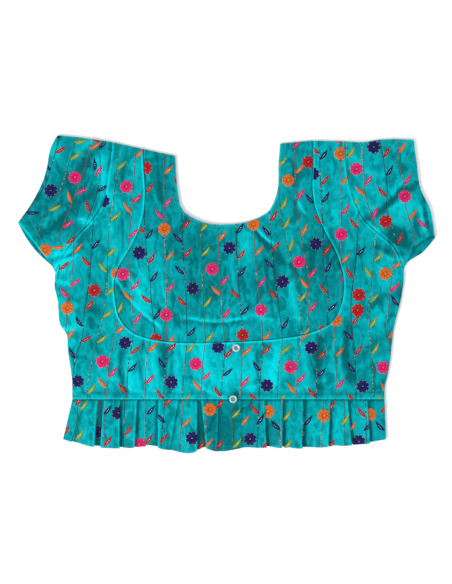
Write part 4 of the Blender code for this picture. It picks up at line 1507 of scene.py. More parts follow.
def leaf_motif(side):
    """A slim leaf in satin stitch that grows along X from its base and bends up at its tip."""
    across = (-1.0, -0.62, -0.14, 0.14, 0.62, 1.0)
    along = (0.07, 0.17, 0.3, 0.45, 0.6, 0.75, 0.88, 0.96)
    points, accent, grain = [], [], []
    for t in along:
        half = 2.35 * math.sin(math.pi * t**0.8) ** 0.9
        axis = side * (1.5 * t * t - 0.75 * math.sin(math.pi * t))
        for v in across:
            lift = 0.12 + 0.62 * math.sqrt(1 - 0.94 * v * v)
            points.append((LEAF_LENGTH * t, axis + v * half, lift))
            accent.append(1.0 if abs(v) < 0.3 and 0.2 < t < 0.7 else 0.0)
            grain.append(LEAF_LENGTH * t + 1.2 * abs(v) * half)
    rows, columns = len(along), len(across)
    points += [(0, 0, 0.1), (LEAF_LENGTH, 1.6 * side, 0.1)]
    accent += [0.0, 0.0]
    grain += [0.1, LEAF_LENGTH]
    base, tip = rows * columns, rows * columns + 1
    faces = quads(rows, columns, 0, False)
    faces += [(base, j, j + 1) for j in range(columns - 1)]
    last = (rows - 1) * columns
    faces += [(tip, last + j + 1, last + j) for j in range(columns - 1)]
    low = [i * columns for i in range(rows)]
    high = [i * columns + columns - 1 for i in range(rows)]
    faces += [(base, high[0], low[0]), (tip, low[-1], high[-1])]
    faces += [(low[i], high[i], high[i + 1], low[i + 1]) for i in range(rows - 1)]
    return motif_object("leaf", points, faces, accent, grain)


def flower_motif():
    """A flower of eight padded petals, with metal at its middle and flecks at its rim."""
    around, petals = 48, 8
    rings = (0.1, 0.2, 0.3, 0.5, 0.72, 0.9, 1.0)
    points, accent, grain = [], [], []
    for ring in rings:
        for j in range(around):
            angle = 2 * math.pi * j / around
            notch = abs((petals * j / around) % 1 - 0.5) * 2
            reach = FLOWER_RADIUS * ring * (1 - 0.24 * ring**2 * notch**2)
            height = 0.1 + 0.8 * (1 - 0.75 * notch**2) * math.sqrt(1 - 0.96 * ring**3)
            height *= 0.5 if ring < 0.25 else 1.0
            points.append((reach * math.cos(angle), reach * math.sin(angle), height))
            # Painted shade goes in the gaps between petals and in the ring round the middle
            gap = -1.0 if notch == 1 or ring == 0.3 else 0.0
            accent.append(1.0 if ring < 0.15 else gap)
            grain.append(0.7 * FLOWER_RADIUS * (angle + 0.2))
    faces = quads(len(rings), around, 0, True)
    first, under = len(points), len(points) + around
    for j in range(around):
        angle = 2 * math.pi * j / around
        reach = 0.5 * FLOWER_RADIUS
        points.append((reach * math.cos(angle), reach * math.sin(angle), 0))
    last = (len(rings) - 1) * around
    faces += [
        (last + j, last + (j + 1) % around, first + (j + 1) % around, first + j)
        for j in range(around)
    ]
    points += [(0, 0, 0.0), (0, 0, 0.6)]
    accent += [0.0] * (around + 1) + [1.0]
    grain += [0.6] * (around + 2)
    faces += [(under, first + j, first + (j + 1) % around) for j in range(around)]
    faces += [(under + 1, (j + 1) % around, j) for j in range(around)]
    for k in range(2 * petals):
        angle = math.pi * k / petals
        reach = FLOWER_RADIUS * (0.98 if k % 2 else 0.84)
        x, y, size = reach * math.cos(angle), reach * math.sin(angle), 0.45 if k % 2 else 0.7
        first = len(points)
        points += [
            (x + size, y, 0.3), (x, y + size, 0.3), (x - size, y, 0.3), (x, y - size, 0.3),
            (x, y, 0.75), (x, y, 0.05),
        ]
        for j in range(4):
            faces.append((first + j, first + (j + 1) % 4, first + 4))
            faces.append((first + (j + 1) % 4, first + j, first + 5))
        accent += [1.0] * 6
        grain += [0.6] * 6
    return motif_object("flower", points, faces, accent, grain)


def chosen(sockets, name):
    """The socket in use with that name, or by its number."""
    if isinstance(name, int):
        return sockets[name]
    return next(socket for socket in sockets if socket.name == name and socket.enabled)


class Builder:
    """A node tree being built: one method adds any node, settings first."""

    def __init__(self, tree):
        self.tree = tree

    def node(self, kind, settings=None, sockets=None):
        made = self.tree.nodes.new(kind)
        for name, value in (settings or {}).items():
            setattr(made, name, value)
        for name, value in (sockets or {}).items():
            socket = chosen(made.inputs, name)
            if isinstance(value, Number):
                value = value.socket
            if isinstance(value, bpy.types.NodeSocket):
                self.tree.links.new(value, socket)
            else:
                socket.default_value = value
        return made

    def number(self, socket):
        return Number(self, socket)


class Number:
    """A socket that carries a number, so that node maths is written as plain sums."""

    def __init__(self, builder, socket):
        self.builder = builder
        self.socket = socket

    def maths(self, operation, *others):
        sockets = dict(enumerate((self, *others)))
        made = self.builder.node("ShaderNodeMath", {"operation": operation}, sockets)
        return Number(self.builder, made.outputs[0])

    def __add__(self, other):
        return self.maths("ADD", other)

    __radd__ = __add__

    def __mul__(self, other):
        return self.maths("MULTIPLY", other)

    __rmul__ = __mul__

    def __sub__(self, other):
        return self.maths("SUBTRACT", other)

    def __rsub__(self, other):
        return self * -1.0 + other

    def sine(self):
        return self.maths("SINE")

    def between(self, low, high):
        """0 below low and 1 above high, smooth between."""
        made = self.builder.node(
            "ShaderNodeMapRange",
            {"interpolation_type": "SMOOTHSTEP"},
            {"Value": self, "From Min": low, "From Max": high},
        )
        return Number(self.builder, made.outputs[0])


def geometry_tree(name, inputs):
    """A new Geometry Nodes tree with named inputs: its builder, and their sockets by name."""
    tree = bpy.data.node_groups.new(name, "GeometryNodeTree")
    tree.interface.new_socket("Geometry", in_out="INPUT", socket_type="NodeSocketGeometry")
    for label, kind, default in inputs:
        socket = tree.interface.new_socket(label, in_out="INPUT", socket_type=kind)
        if default is not None:
            socket.default_value = default
    tree.interface.new_socket("Geometry", in_out="OUTPUT", socket_type="NodeSocketGeometry")
    builder = Builder(tree)
    given = builder.node("NodeGroupInput")
    return builder, {socket.name: socket for socket in given.outputs if socket.name}


def named_field(builder, name):
    made = builder.node("GeometryNodeInputNamedAttribute", {"data_type": "FLOAT"}, {"Name": name})
    return builder.number(made.outputs["Attribute"])


def random_field(builder, low, high, seed):
    made = builder.node(
        "FunctionNodeRandomValue", {"data_type": "FLOAT"}, {"Min": low, "Max": high, "Seed": seed}
    )
    return builder.number(chosen(made.outputs, "Value"))


SPARK_SEED = 11


def finish_tree(builder, given, source, points, rotation, size):
    """Sets the source object on every point, gives each copy its spark, and makes them one mesh."""
    copied = builder.node("GeometryNodeObjectInfo", None, {"Object": given[source]})
    laid = builder.node("GeometryNodeInstanceOnPoints", None, {
        "Points": points, "Instance": copied.outputs["Geometry"], "Rotation": rotation,
        "Scale": size,
    })
    spark = builder.node(
        "GeometryNodeStoreNamedAttribute", {"data_type": "FLOAT", "domain": "INSTANCE"},
        {
            "Geometry": laid.outputs[0], "Name": "spark",
            "Value": random_field(builder, 0.0, 1.0, SPARK_SEED),
        },
    )
    real = builder.node("GeometryNodeRealizeInstances", None, {"Geometry": spark.outputs[0]})
    coated = builder.node(
        "GeometryNodeSetMaterial", None,
        {"Geometry": real.outputs[0], "Material": given["Material"]},
    )
    builder.node("NodeGroupOutput", None, {0: coated.outputs[0]})
    return builder.tree


def stitched_line_tree():
    """Stitches one after another along every line of a wire mesh, slanted to and fro."""
    builder, given = geometry_tree("Stitched line", (
        ("Stitch", "NodeSocketObject", None),
        ("Pitch", "NodeSocketFloat", 0.002),
        ("Slant", "NodeSocketFloat", 0.35),
        ("Material", "NodeSocketMaterial", None),
        ("Seed", "NodeSocketInt", 3),
    ))
    curve = builder.node("GeometryNodeMeshToCurve", None, {"Mesh": given["Geometry"]})
    even = builder.node(
        "GeometryNodeResampleCurve", {"mode": "LENGTH"},
        {"Curve": curve.outputs[0], "Length": given["Pitch"]},
    )
    along = builder.node(
        "FunctionNodeAlignRotationToVector", {"axis": "X"},
        {"Vector": builder.node("GeometryNodeInputTangent").outputs[0]},
    )
    index = builder.number(builder.node("GeometryNodeInputIndex").outputs[0])
    slant = (index.maths("FLOORED_MODULO", 2.0) * 2.0 - 1.0) * builder.number(given["Slant"])
    slant = slant + random_field(builder, -0.12, 0.12, given["Seed"])
    turn = builder.node(
        "FunctionNodeAxisAngleToRotation", None, {"Axis": (0, 0, 1), "Angle": slant}
    )
    turned = builder.node(
        "FunctionNodeRotateRotation", {"rotation_space": "LOCAL"},
        {"Rotation": along.outputs[0], "Rotate By": turn.outputs[0]},
    )
    size = random_field(builder, 0.85, 1.15, given["Seed"])
    return finish_tree(builder, given, "Stitch", even.outputs[0], turned.outputs[0], size)


def scattered_motif_tree():
    """One motif on every point, turned as the point says, with a little unevenness."""
    builder, given = geometry_tree("Motif on points", (
        ("Motif", "NodeSocketObject", None),
        ("Unevenness", "NodeSocketFloat", 0.05),
        ("Material", "NodeSocketMaterial", None),
        ("Seed", "NodeSocketInt", 5),
    ))
    uneven = builder.number(given["Unevenness"])
    twist = random_field(builder, -1.0, 1.0, given["Seed"]) * uneven * 2.0
    turn = named_field(builder, "turn") + twist
    spin = builder.node("ShaderNodeCombineXYZ", None, {"Z": turn})
    rotation = builder.node("FunctionNodeEulerToRotation", None, {"Euler": spin.outputs[0]})
    size = random_field(builder, -1.0, 1.0, given["Seed"]) * uneven + 1.0
    return finish_tree(builder, given, "Motif", given["Geometry"], rotation.outputs[0], size)


def set_input(modifier, name, value):
    """Sets a modifier's input by its socket's identifier."""
    for item in modifier.node_group.interface.items_tree:
        if item.item_type == "SOCKET" and item.in_out == "INPUT" and item.name == name:
            modifier[item.identifier] = value
            return
    raise KeyError(name)


def grown(carrier, tree, inputs):
    """The plain mesh that a tree makes from a carrier object, which is then removed."""
    bpy.context.scene.collection.objects.link(carrier)
    modifier = carrier.modifiers.new("grown", "NODES")
    modifier.node_group = tree
    for name, value in inputs.items():
        set_input(modifier, name, value)
    ready = bpy.context.evaluated_depsgraph_get()
    mesh = bpy.data.meshes.new_from_object(
        carrier.evaluated_get(ready), preserve_all_data_layers=True, depsgraph=ready
    )
    carrier.modifiers.remove(modifier)
    bpy.data.objects.remove(carrier)
    return mesh


# Fields that the stitches and motifs carry
FIELDS = {
    "accent": "FLOAT", "grain": "FLOAT", "spark": "FLOAT", "run": "FLOAT", "tint": "FLOAT_VECTOR"
}


def read_mesh(mesh):
    """A mesh's places in millimetres, its faces, and its fields as arrays."""
    places = np.empty(len(mesh.vertices) * 3, np.float32)
    mesh.vertices.foreach_get("co", places)
    faces = [tuple(polygon.vertices) for polygon in mesh.polygons]
    fields = {}
    for name, kind in FIELDS.items():
        width = 3 if kind == "FLOAT_VECTOR" else 1
        values = np.zeros(len(mesh.vertices) * width, np.float32)
        layer = mesh.attributes.get(name)
        if layer is not None and layer.domain == "POINT":
            layer.data.foreach_get("vector" if width == 3 else "value", values)
        fields[name] = values.reshape(-1, width)
    return places.reshape(-1, 3).astype(float) / MM, faces, fields


def carrier_object(name, points, edges, fields):
    """A wire or point mesh that carries fields into a tree."""
    return bpy.data.objects.new(name, new_mesh(name, points, edges, fields=fields))


def embroidered(vines, motifs, sources, colours, pitch=1.9, slant=0.35):
    """Meshes of all the stitches and motifs of one layer of cloth, still flat."""
    found = []
    if vines:
        points, edges, tint, run = [], [], [], []
        for colour, path, number in vines:
            first = len(points)
            points += [(x, y, 0.0) for x, y in path]
            edges += [(first + i, first + i + 1) for i in range(len(path) - 1)]
            tint += [colours[colour]] * len(path)
            run += [float(number)] * len(path)
        wire = carrier_object("vines", points, edges, {"tint": tint, "run": run})
        line = grown(wire, sources["line"], {
            "Stitch": sources["stitch"], "Pitch": pitch * MM, "Slant": slant,
            "Material": sources["material"],
        })
        found.append((line, len(sources["stitch"].data.vertices)))
    kinds = {
        "leaf_right": [m for m in motifs if m[0] == "leaf" and m[2] > 0],
        "leaf_left": [m for m in motifs if m[0] == "leaf" and m[2] < 0],
        "flower": [m for m in motifs if m[0] == "flower"],
    }
    for kind, some in kinds.items():
        if some:
            dots = carrier_object(
                kind,
                [(m[3], m[4], 0.0) for m in some],
                [],
                {
                    "tint": [colours[m[1]] for m in some],
                    "turn": [m[5] for m in some],
                    "run": [float(m[6]) for m in some],
                },
            )
            scattered = grown(dots, sources["scatter"], {
                "Motif": sources[kind], "Material": sources["material"],
            })
            found.append((scattered, len(sources[kind].data.vertices)))
    return found


# A motif goes when less than this share of its vertices lies inside its panel
LEAST_SHOWN = 0.12


def drawn_in(outline, by):
    """A closed outline moved inwards."""
    after = np.roll(outline, -1, axis=0)
    area = np.dot(outline[:, 0], after[:, 1]) - np.dot(outline[:, 1], after[:, 0])
    line = outline[np.linalg.norm(after - outline, axis=1) > 1e-6]
    along = np.roll(line, -1, axis=0) - np.roll(line, 1, axis=0)
    along /= np.maximum(np.linalg.norm(along, axis=1), 1e-9)[:, None]
    return line + math.copysign(by, area) * np.stack([-along[:, 1], along[:, 0]], axis=1)


def tucked_in(outline, x, y, z, count):
    """Motifs of so many vertices each: those outside an outline go, and the outer part of
    one that crosses it is gathered on it. Returns the new places and which vertices stay."""
    within = inside(outline, x, y)
    stays = np.repeat(within.reshape(-1, count).mean(axis=1) > LEAST_SHOWN, count)
    out = np.nonzero(stays & ~within)[0]
    closed = np.vstack([outline, outline[:1]])
    near = np.full(len(out), 1e9)
    px, py = x[out], y[out]
    nx, ny = px.copy(), py.copy()
    for a, b in zip(closed, closed[1:]):
        dx, dy = b - a
        part = np.clip(((px - a[0]) * dx + (py - a[1]) * dy) / max(dx * dx + dy * dy, 1e-12), 0, 1)
        qx, qy = a[0] + part * dx, a[1] + part * dy
        far = np.hypot(px - qx, py - qy)
        closer = far < near
        near = np.where(closer, far, near)
        nx, ny = np.where(closer, qx, nx), np.where(closer, qy, ny)
    x, y, z = x.copy(), y.copy(), z.copy()
    x[out], y[out] = nx, ny
    z[out] *= 0.3
    return x, y, z, stays


def sew_down(name, layers, material):
    """One piece from flat embroidery meshes, each laid by its drape and tucked in at its outline.
    layers is a list of ((mesh, vertices in one motif), drape, outline, way)."""
    points, faces, fields = [], [], {label: [] for label in FIELDS}
    first = 0
    for (mesh, count), drape, outline, way in layers:
        places, flat_faces, values = read_mesh(mesh)
        bpy.data.meshes.remove(mesh)
        x, y, z = places.T
        kept = np.ones(len(x), bool)
        if outline is not None:
            x, y, z, kept = tucked_in(outline, x, y, z, count)
        placed, laid = drape(x, y, z, np.rint(values["run"][:, 0]).astype(int))
        kept &= np.repeat(laid.reshape(-1, count).any(axis=1), count)
        number = np.cumsum(kept) - 1 + first
        for face in flat_faces:
            if all(kept[v] for v in face):
                corner = tuple(int(number[v]) for v in face)
                faces.append(corner if way > 0 else corner[::-1])
        points.append(placed[kept])
        for label in FIELDS:
            fields[label].append(values[label][kept])
        first += int(kept.sum())
    carried = {label: np.vstack(fields[label]) for label in FIELDS if label != "run"}
    for label, values in carried.items():
        carried[label] = values if FIELDS[label] == "FLOAT_VECTOR" else values[:, 0]
    mesh = new_mesh(name, np.vstack(points), faces=faces, fields=carried)
    mesh.shade_smooth()
    return add_piece(name, mesh, material)


def new_material(name):
    """A material with only its Principled BSDF, the builder of its graph, and that shader."""
    material = bpy.data.materials.new(name)
    material.use_nodes = True
    builder = Builder(material.node_tree)
    return material, builder, material.node_tree.nodes["Principled BSDF"]


def link_in(builder, shader, sockets):
    for name, value in sockets.items():
        if isinstance(value, Number):
            value = value.socket
        if isinstance(value, bpy.types.NodeSocket):
            builder.tree.links.new(value, shader.inputs[name])
        else:
            shader.inputs[name].default_value = value


def mix_colours(builder, factor, a, b):
    made = builder.node("ShaderNodeMix", {"data_type": "RGBA"}, {"Factor": factor, "A": a, "B": b})
    return chosen(made.outputs, "Result")


def noise(builder, place, scale, detail, distortion=0.0):
    made = builder.node(
        "ShaderNodeTexNoise", None,
        {"Vector": place, "Scale": scale, "Detail": detail, "Distortion": distortion},
    )
    return builder.number(made.outputs[0])


def bumped(builder, strength, distance, height):
    sockets = {"Strength": strength, "Distance": distance, "Height": height}
    return builder.node("ShaderNodeBump", None, sockets).outputs[0]


def attribute_field(builder, name):
    """A piece's own field in a shader, as a number."""
    made = builder.node("ShaderNodeAttribute", {"attribute_name": name})
    return builder.number(made.outputs["Fac"])


# In metres, the distance between two ribs of the weave
WEAVE_PITCH = 0.0009


def satin_material(name, deep, light):
    """Satin-weave cloth whose tone follows the painted light and shade field, with ribs, slubs and
    small crumples.
    """
    material, builder, shader = new_material(name)
    place = builder.node("ShaderNodeTexCoord").outputs["Object"]
    split = builder.node("ShaderNodeSeparateXYZ", None, {0: place})
    x, y = builder.number(split.outputs[0]), builder.number(split.outputs[1])
    tone = attribute_field(builder, "tone")
    leaning = builder.node(
        "ShaderNodeMapping", None,
        {"Vector": place, "Rotation": (0, 0, 0.45), "Scale": (78.0, 38.0, 38.0)},
    )
    crumple = noise(builder, leaning.outputs[0], 1.0, 3.0, 0.9)
    ridge = 1.0 - ((crumple - 0.5) * 9.0).maths("ABSOLUTE").between(0.0, 1.0)
    stretched = builder.node(
        "ShaderNodeMapping", None, {"Vector": place, "Scale": (420.0, 60.0, 60.0)}
    )
    slub = noise(builder, stretched.outputs[0], 1.0, 2.0)
    cloud = noise(builder, place, 22.0, 3.0)
    uneven = noise(builder, place, 120.0, 2.0)
    # Colour runs from the deep tone, for painted shade, to the light tone, for painted highlight:
    # the tone field, random clouds, slubs and fine unevenness, and painted highlight on raised
    # crumples and their thin ridges with painted shade in their hollows
    depth = (
        tone + (cloud - 0.5) * 0.28 + (crumple - 0.5) * 0.5 + ridge * 0.2 + (uneven - 0.5) * 0.45
        + (slub - 0.5) * 0.1
    )
    colour = mix_colours(builder, depth.between(0.0, 1.25), deep, light)
    warp = (x * (2 * math.pi / WEAVE_PITCH)).sine() * (y * (2 * math.pi / WEAVE_PITCH)).sine()
    height = crumple * 2.8 + ridge * 0.22 + uneven * 0.55 + slub * 0.1 + warp * 0.02
    link_in(builder, shader, {
        "Base Color": colour,
        "Roughness": 0.44 + (slub - 0.5) * 0.2,
        "Normal": bumped(builder, 0.6, 0.001, height),
        "Specular IOR Level": 0.2,
        "Specular Tint": (0.1, 0.95, 1.0, 1.0),
        "Sheen Weight": 0.12,
        "Sheen Roughness": 0.4,
        "Sheen Tint": (0.05, 0.95, 1.0, 1.0),
    })
    return material


def embroidery_material(metal_colour):
    """Silk thread in the stitch's own tint, with metal where a motif carries it and here and
    there along the vines, and painted shade in the gaps between a flower's petals."""
    material, builder, shader = new_material("embroidery thread")
    tint = builder.node("ShaderNodeAttribute", {"attribute_name": "tint"}).outputs["Color"]
    place = builder.node("ShaderNodeTexCoord").outputs["Object"]
    grain, accent, spark = (attribute_field(builder, name) for name in ("grain", "accent", "spark"))
    dots = (grain * (2 * math.pi / 2.4)).sine().between(-0.1, 0.8)
    metal = accent.between(0.8, 1.0) * dots
    # Painted shade in the gaps between a flower's petals and round its middle
    gap = (accent * -1.0).between(0.25, 1.0)
    bare = 1.0 - grain.maths("ABSOLUTE").between(0.0, 0.02)
    glint = (spark + (noise(builder, place, 30.0, 1.0) - 0.5) * 1.6).between(0.78, 1.05) * bare
    share = (metal * 0.85).maths("MAXIMUM", glint * 0.6)
    ribs = (grain * (2 * math.pi / 0.55)).sine()
    shade = ribs * 0.12 + 0.1 + gap * 0.42
    shaded = mix_colours(builder, shade, tint, (0.005, 0.005, 0.012, 1.0))
    link_in(builder, shader, {
        "Base Color": mix_colours(builder, share, shaded, metal_colour),
        "Metallic": share * 0.5,
        "Roughness": 0.55 - share * 0.2,
        "Normal": bumped(builder, 0.5, 0.0002, ribs),
        "Specular IOR Level": 0.18,
        "Sheen Weight": 0.03,
    })
    return material


def sewing_material(colour):
    material, builder, shader = new_material("sewing thread")
    link_in(builder, shader, {"Base Color": colour, "Roughness": 0.55, "Sheen Weight": 0.2})
    return material


def pearl_material(colour, hollow):
    """Milky button resin with soft swirls."""
    material, builder, shader = new_material("pearl button")
    place = builder.node("ShaderNodeTexCoord").outputs["Object"]
    swirl = noise(builder, place, 320.0, 2.0, 2.5)
    deep = attribute_field(builder, "hollow")
    share = (deep * 0.75 + (swirl - 0.5) * 0.7).between(0.0, 1.0)
    link_in(builder, shader, {
        "Base Color": mix_colours(builder, share, colour, hollow),
        "Roughness": 0.22,
        "Coat Weight": 0.5,
    })
    return material


# The button's face from its middle out and round to its back: share of the radius, share of the
# thickness, and how much of the grey hollow shows
BUTTON_PROFILE = (
    (0.12, 0.5, 1), (0.3, 0.5, 1), (0.46, 0.52, 1), (0.54, 0.6, 0.8), (0.6, 0.78, 0.4),
    (0.66, 0.9, 0.1), (0.74, 0.98, 0), (0.82, 1.0, 0), (0.9, 0.94, 0), (0.96, 0.8, 0),
    (1.0, 0.55, 0), (0.985, 0.32, 0), (0.93, 0.14, 0), (0.82, 0.03, 0), (0.6, 0.0, 0),
)
BUTTON_HOLES = ((1.0, 1.0), (-1.0, 1.0), (-1.0, -1.0), (1.0, -1.0))


def make_button(name, x, y, material):
    """A small round button with a raised rim, a sunken middle and four thread holes."""
    around, radius, thick = 64, 0.5 * BUTTON_DIAMETER, BUTTON_THICKNESS
    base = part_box(name)[0][2] / MM
    points, hollow = [], []
    for share, height, deep in BUTTON_PROFILE:
        for j in range(around):
            angle = 2 * math.pi * j / around
            px, py = share * radius * math.cos(angle), share * radius * math.sin(angle)
            dip = 0.0
            if deep == 1:
                dip = sum(
                    math.exp(-((px - hx) ** 2 + (py - hy) ** 2) / 0.16) for hx, hy in BUTTON_HOLES
                )
            points.append((x + px, y + py, base + height * thick - 0.7 * dip))
            hollow.append(max(deep, min(1.4 * dip, 1.0) + 0.4 * deep))
    first, last = len(points), len(points) + 1
    points += [(x, y, base + 0.5 * thick), (x, y, base)]
    hollow += [1.0, 0.0]
    faces = quads(len(BUTTON_PROFILE), around, 0, True)
    faces += [(first, (j + 1) % around, j) for j in range(around)]
    low = (len(BUTTON_PROFILE) - 1) * around
    faces += [(last, low + j, low + (j + 1) % around) for j in range(around)]
    mesh = face_outwards(new_mesh(name, points, faces=faces, fields={"hollow": hollow}))
    piece = add_piece(name + "_pearl", mesh, material)
    dress(piece, name)
    return piece


def area_light(name, place, size, power):
    """A white light that points at the middle of the table."""
    data = bpy.data.lights.new(name, "AREA")
    data.shape = "RECTANGLE"
    data.size, data.size_y = size
    data.energy = power
    lamp = bpy.data.objects.new(name, data)
    bpy.context.scene.collection.objects.link(lamp)
    lamp.location = place
    lamp.rotation_euler = (-Vector(place)).to_track_quat("-Z", "Y").to_euler()


def length_setting(name, description, default, least, most):
    return bpy.props.FloatProperty(
        name=name, description=description, default=default, min=least, max=most, precision=4,
        unit="LENGTH",
    )


def colour_setting(name, description, *default):
    return bpy.props.FloatVectorProperty(
        name=name, description=description, default=default, size=3, min=0, max=1, subtype="COLOR",
    )


class CholiClothSettings(bpy.types.PropertyGroup):
    """Sizes and colours of the cloth."""

    thickness: length_setting(
        "Cloth thickness", "Thickness of each cloth shell", 0.0006, 0.0002, 0.001
    )
    # The deep tone is the cloth under the fullest painted shade, the light tone the cloth under the
    # fullest painted highlight
    deep: colour_setting("Deep tone", "The cloth where the satin lies dark", 0.0, 0.095, 0.11)
    light: colour_setting("Light tone", "The cloth where the satin is light", 0.0, 0.57, 0.63)


class CholiThreadSettings(bpy.types.PropertyGroup):
    """Sizes and colours of the embroidery and the sewing."""

    stitch_length: length_setting(
        "Stitch length", "Length of one stitch of a vine", 0.0026, 0.001, 0.006
    )
    stitch_width: length_setting(
        "Stitch width", "Width of one stitch of a vine", 0.00092, 0.0004, 0.003
    )
    pink: colour_setting("Pink", "Pink silk", 0.74, 0.008, 0.15)
    red: colour_setting("Red", "Red silk", 0.46, 0.003, 0.006)
    orange: colour_setting("Orange", "Orange silk", 0.7, 0.14, 0.008)
    navy: colour_setting("Navy", "Navy silk", 0.002, 0.002, 0.1)
    green: colour_setting("Green", "Yellow-green silk", 0.3, 0.34, 0.015)
    russet: colour_setting("Russet", "Red-brown vine thread", 0.19, 0.06, 0.04)
    ink: colour_setting("Ink", "Blue-black vine thread", 0.01, 0.03, 0.06)
    moss: colour_setting("Moss", "Green vine thread", 0.05, 0.12, 0.03)
    metal: colour_setting("Metal thread", "Pale gilt thread", 0.6, 0.5, 0.33)
    sewing: colour_setting("Sewing thread", "Thread of the seams", 0.0, 0.3, 0.33)


class CholiButtonSettings(bpy.types.PropertyGroup):
    """Colours of the buttons."""

    rim: colour_setting("Rim", "The button's pearly rim", 0.42, 0.53, 0.57)
    hollow: colour_setting("Hollow", "The button's grey middle", 0.13, 0.2, 0.23)


class CholiStageSettings(bpy.types.PropertyGroup):
    """The floor and the light."""

    floor: colour_setting("Floor", "Colour of the floor", 0.97, 0.97, 0.97)
    key_power: bpy.props.FloatProperty(
        name="Key light", description="Power of the large light at the lower left", default=82.0,
        min=0, unit="POWER",
    )
    fill: bpy.props.FloatProperty(
        name="Fill", description="Strength of the light from all round", default=0.64, min=0,
        max=3,
    )


def opaque(colour):
    return (*colour, 1.0)


def cloth(context):
    """The front's satin and the back's, made once, and the shells' thickness in millimetres."""
    settings = context.scene.choli_cloth
    tones = opaque(settings.deep), opaque(settings.light)
    names = ("turquoise satin front", "turquoise satin back")
    front, back = (bpy.data.materials.get(n) or satin_material(n, *tones) for n in names)
    return front, back, settings.thickness / MM


# The front panels: cloth piece, edges, places across, height, tone beside the seams
FRONTS = {
    "front_bib": ("bib_cloth", bib_edges, ACROSS_BIB, bib_height, bib_painted_light_and_shade),
    "front_side_left": ("left_front_cloth", left_edges, ACROSS_SIDE, left_height, side_painted_light_and_shade),
    "front_side_right": ("right_front_cloth", right_edges, ACROSS_SIDE, side_height, side_painted_light_and_shade),
}


class CHOLI_OT_front(bpy.types.Operator):
    """Lays the three front panels, with their seams, creases and lap"""

    bl_idname = "choli.front"
    bl_label = "Front panels"

    def execute(self, context):
        front, _, thickness = cloth(context)
        for node, (name, edges, across, height, tone) in FRONTS.items():
            lay_panel(name, edges(), across, height, -thickness, front, node, tone)
        return {"FINISHED"}


class CHOLI_OT_sleeves(bpy.types.Operator):
    """Lays the two flattened sleeves"""

    bl_idname = "choli.sleeves"
    bl_label = "Sleeves"

    def execute(self, context):
        front, _, thickness = cloth(context)
        for name, patches in sleeve_layers().items():
            lay_sleeve(name, patches, thickness, front)
        return {"FINISHED"}


class CHOLI_OT_peplum(bpy.types.Operator):
    """Lays the two pleated strips of the front peplum"""

    bl_idname = "choli.peplum"
    bl_label = "Peplum"

    def execute(self, context):
        front, _, thickness = cloth(context)
        for name in PEPLUMS:
            lay_peplum(name, thickness, front)
        return {"FINISHED"}


class CHOLI_OT_back(bpy.types.Operator):
    """Lays the back and its strip below the waist"""

    bl_idname = "choli.back"
    bl_label = "Back"

    def execute(self, context):
        _, back, thickness = cloth(context)
        lay_panel(
            "back_cloth", back_edges(), ACROSS_BACK, back_height, thickness, back,
            "back_body",
        )
        lay_peplum_back(thickness, back)
        return {"FINISHED"}


class CHOLI_OT_embroidery(bpy.types.Operator):
    """Embroiders every panel with its vines, leaves and flowers"""

    bl_idname = "choli.embroidery"
    bl_label = "Embroidery"

    def execute(self, context):
        thread = context.scene.choli_thread
        names = ("pink", "red", "orange", "navy", "green", "russet", "ink", "moss")
        colours = {name: tuple(getattr(thread, name)) for name in names}
        material = embroidery_material(opaque(thread.metal))
        sources = {
            "line": stitched_line_tree(),
            "scatter": scattered_motif_tree(),
            "stitch": stitch_motif(thread.stitch_length / MM, thread.stitch_width / MM, 0.55),
            "leaf_right": leaf_motif(1),
            "leaf_left": leaf_motif(-1),
            "flower": flower_motif(),
            "material": material,
        }
        thickness = context.scene.choli_cloth.thickness / MM
        sleeves = sleeve_layers()
        panels = {node: (outline_of(row[1]()), row[3]) for node, row in FRONTS.items()}
        for name, (over, _) in sleeves.items():
            panels[name] = (patch_outline(over), sleeve_height)
        for panel, (outline, height) in panels.items():
            meshes = embroidered(*panel_embroidery(panel), sources, colours)
            layers = [(m, drape_on(height, 1), drawn_in(outline, 0.5), 1) for m in meshes]
            if panel in sleeves:
                under = drawn_in(patch_outline(sleeves[panel][1]), 1.2)
                meshes = embroidered(*panel_embroidery(panel), sources, colours)
                layers += [(m, drape_on(flat_under, PRESSED_UNDER), under, -1) for m in meshes]
            dress(sew_down("embroidery_" + panel, layers, material), None)
        for panel in PEPLUMS:
            meshes = embroidered(*peplum_embroidery(panel), sources, colours)
            layers = [(m, drape_on_peplum(panel, thickness), None, 1) for m in meshes]
            dress(sew_down("embroidery_" + panel, layers, material), None)
        outline = drawn_in(outline_of(back_edges()), 0.8)
        meshes = embroidered(*back_embroidery(200, WAIST_Y, 130), sources, colours)
        layers = [(m, drape_on(back_height, PRESSED_UNDER), outline, -1) for m in meshes]
        dress(sew_down("embroidery_back_body", layers, material), None)
        top = PEPLUM_TOP_Y - 0.5
        strip = np.array([
            (PEPLUM_SIDE_LEFT[0] + 1, top), (PEPLUM_SIDE_RIGHT[0] - 1, top),
            (PEPLUM_SIDE_RIGHT[1] - 1, -187), (150, -193), (0, -200), (-120, -196), (-211, -186),
        ])
        meshes = embroidered(*back_embroidery(PEPLUM_TOP_Y, -206, 400), sources, colours)
        layers = [(m, drape_on(back_height, PRESSED_UNDER), strip, -1) for m in meshes]
        dress(sew_down("embroidery_peplum_back", layers, material), None)
        for name in ("stitch", "leaf_right", "leaf_left", "flower"):
            bpy.data.objects.remove(sources[name])
        return {"FINISHED"}


# Places on the chart along the thread loop beside the lower button
LOOP = ((239, 395.6), (240.8, 397), (240.2, 399.6), (237.2, 400.8))


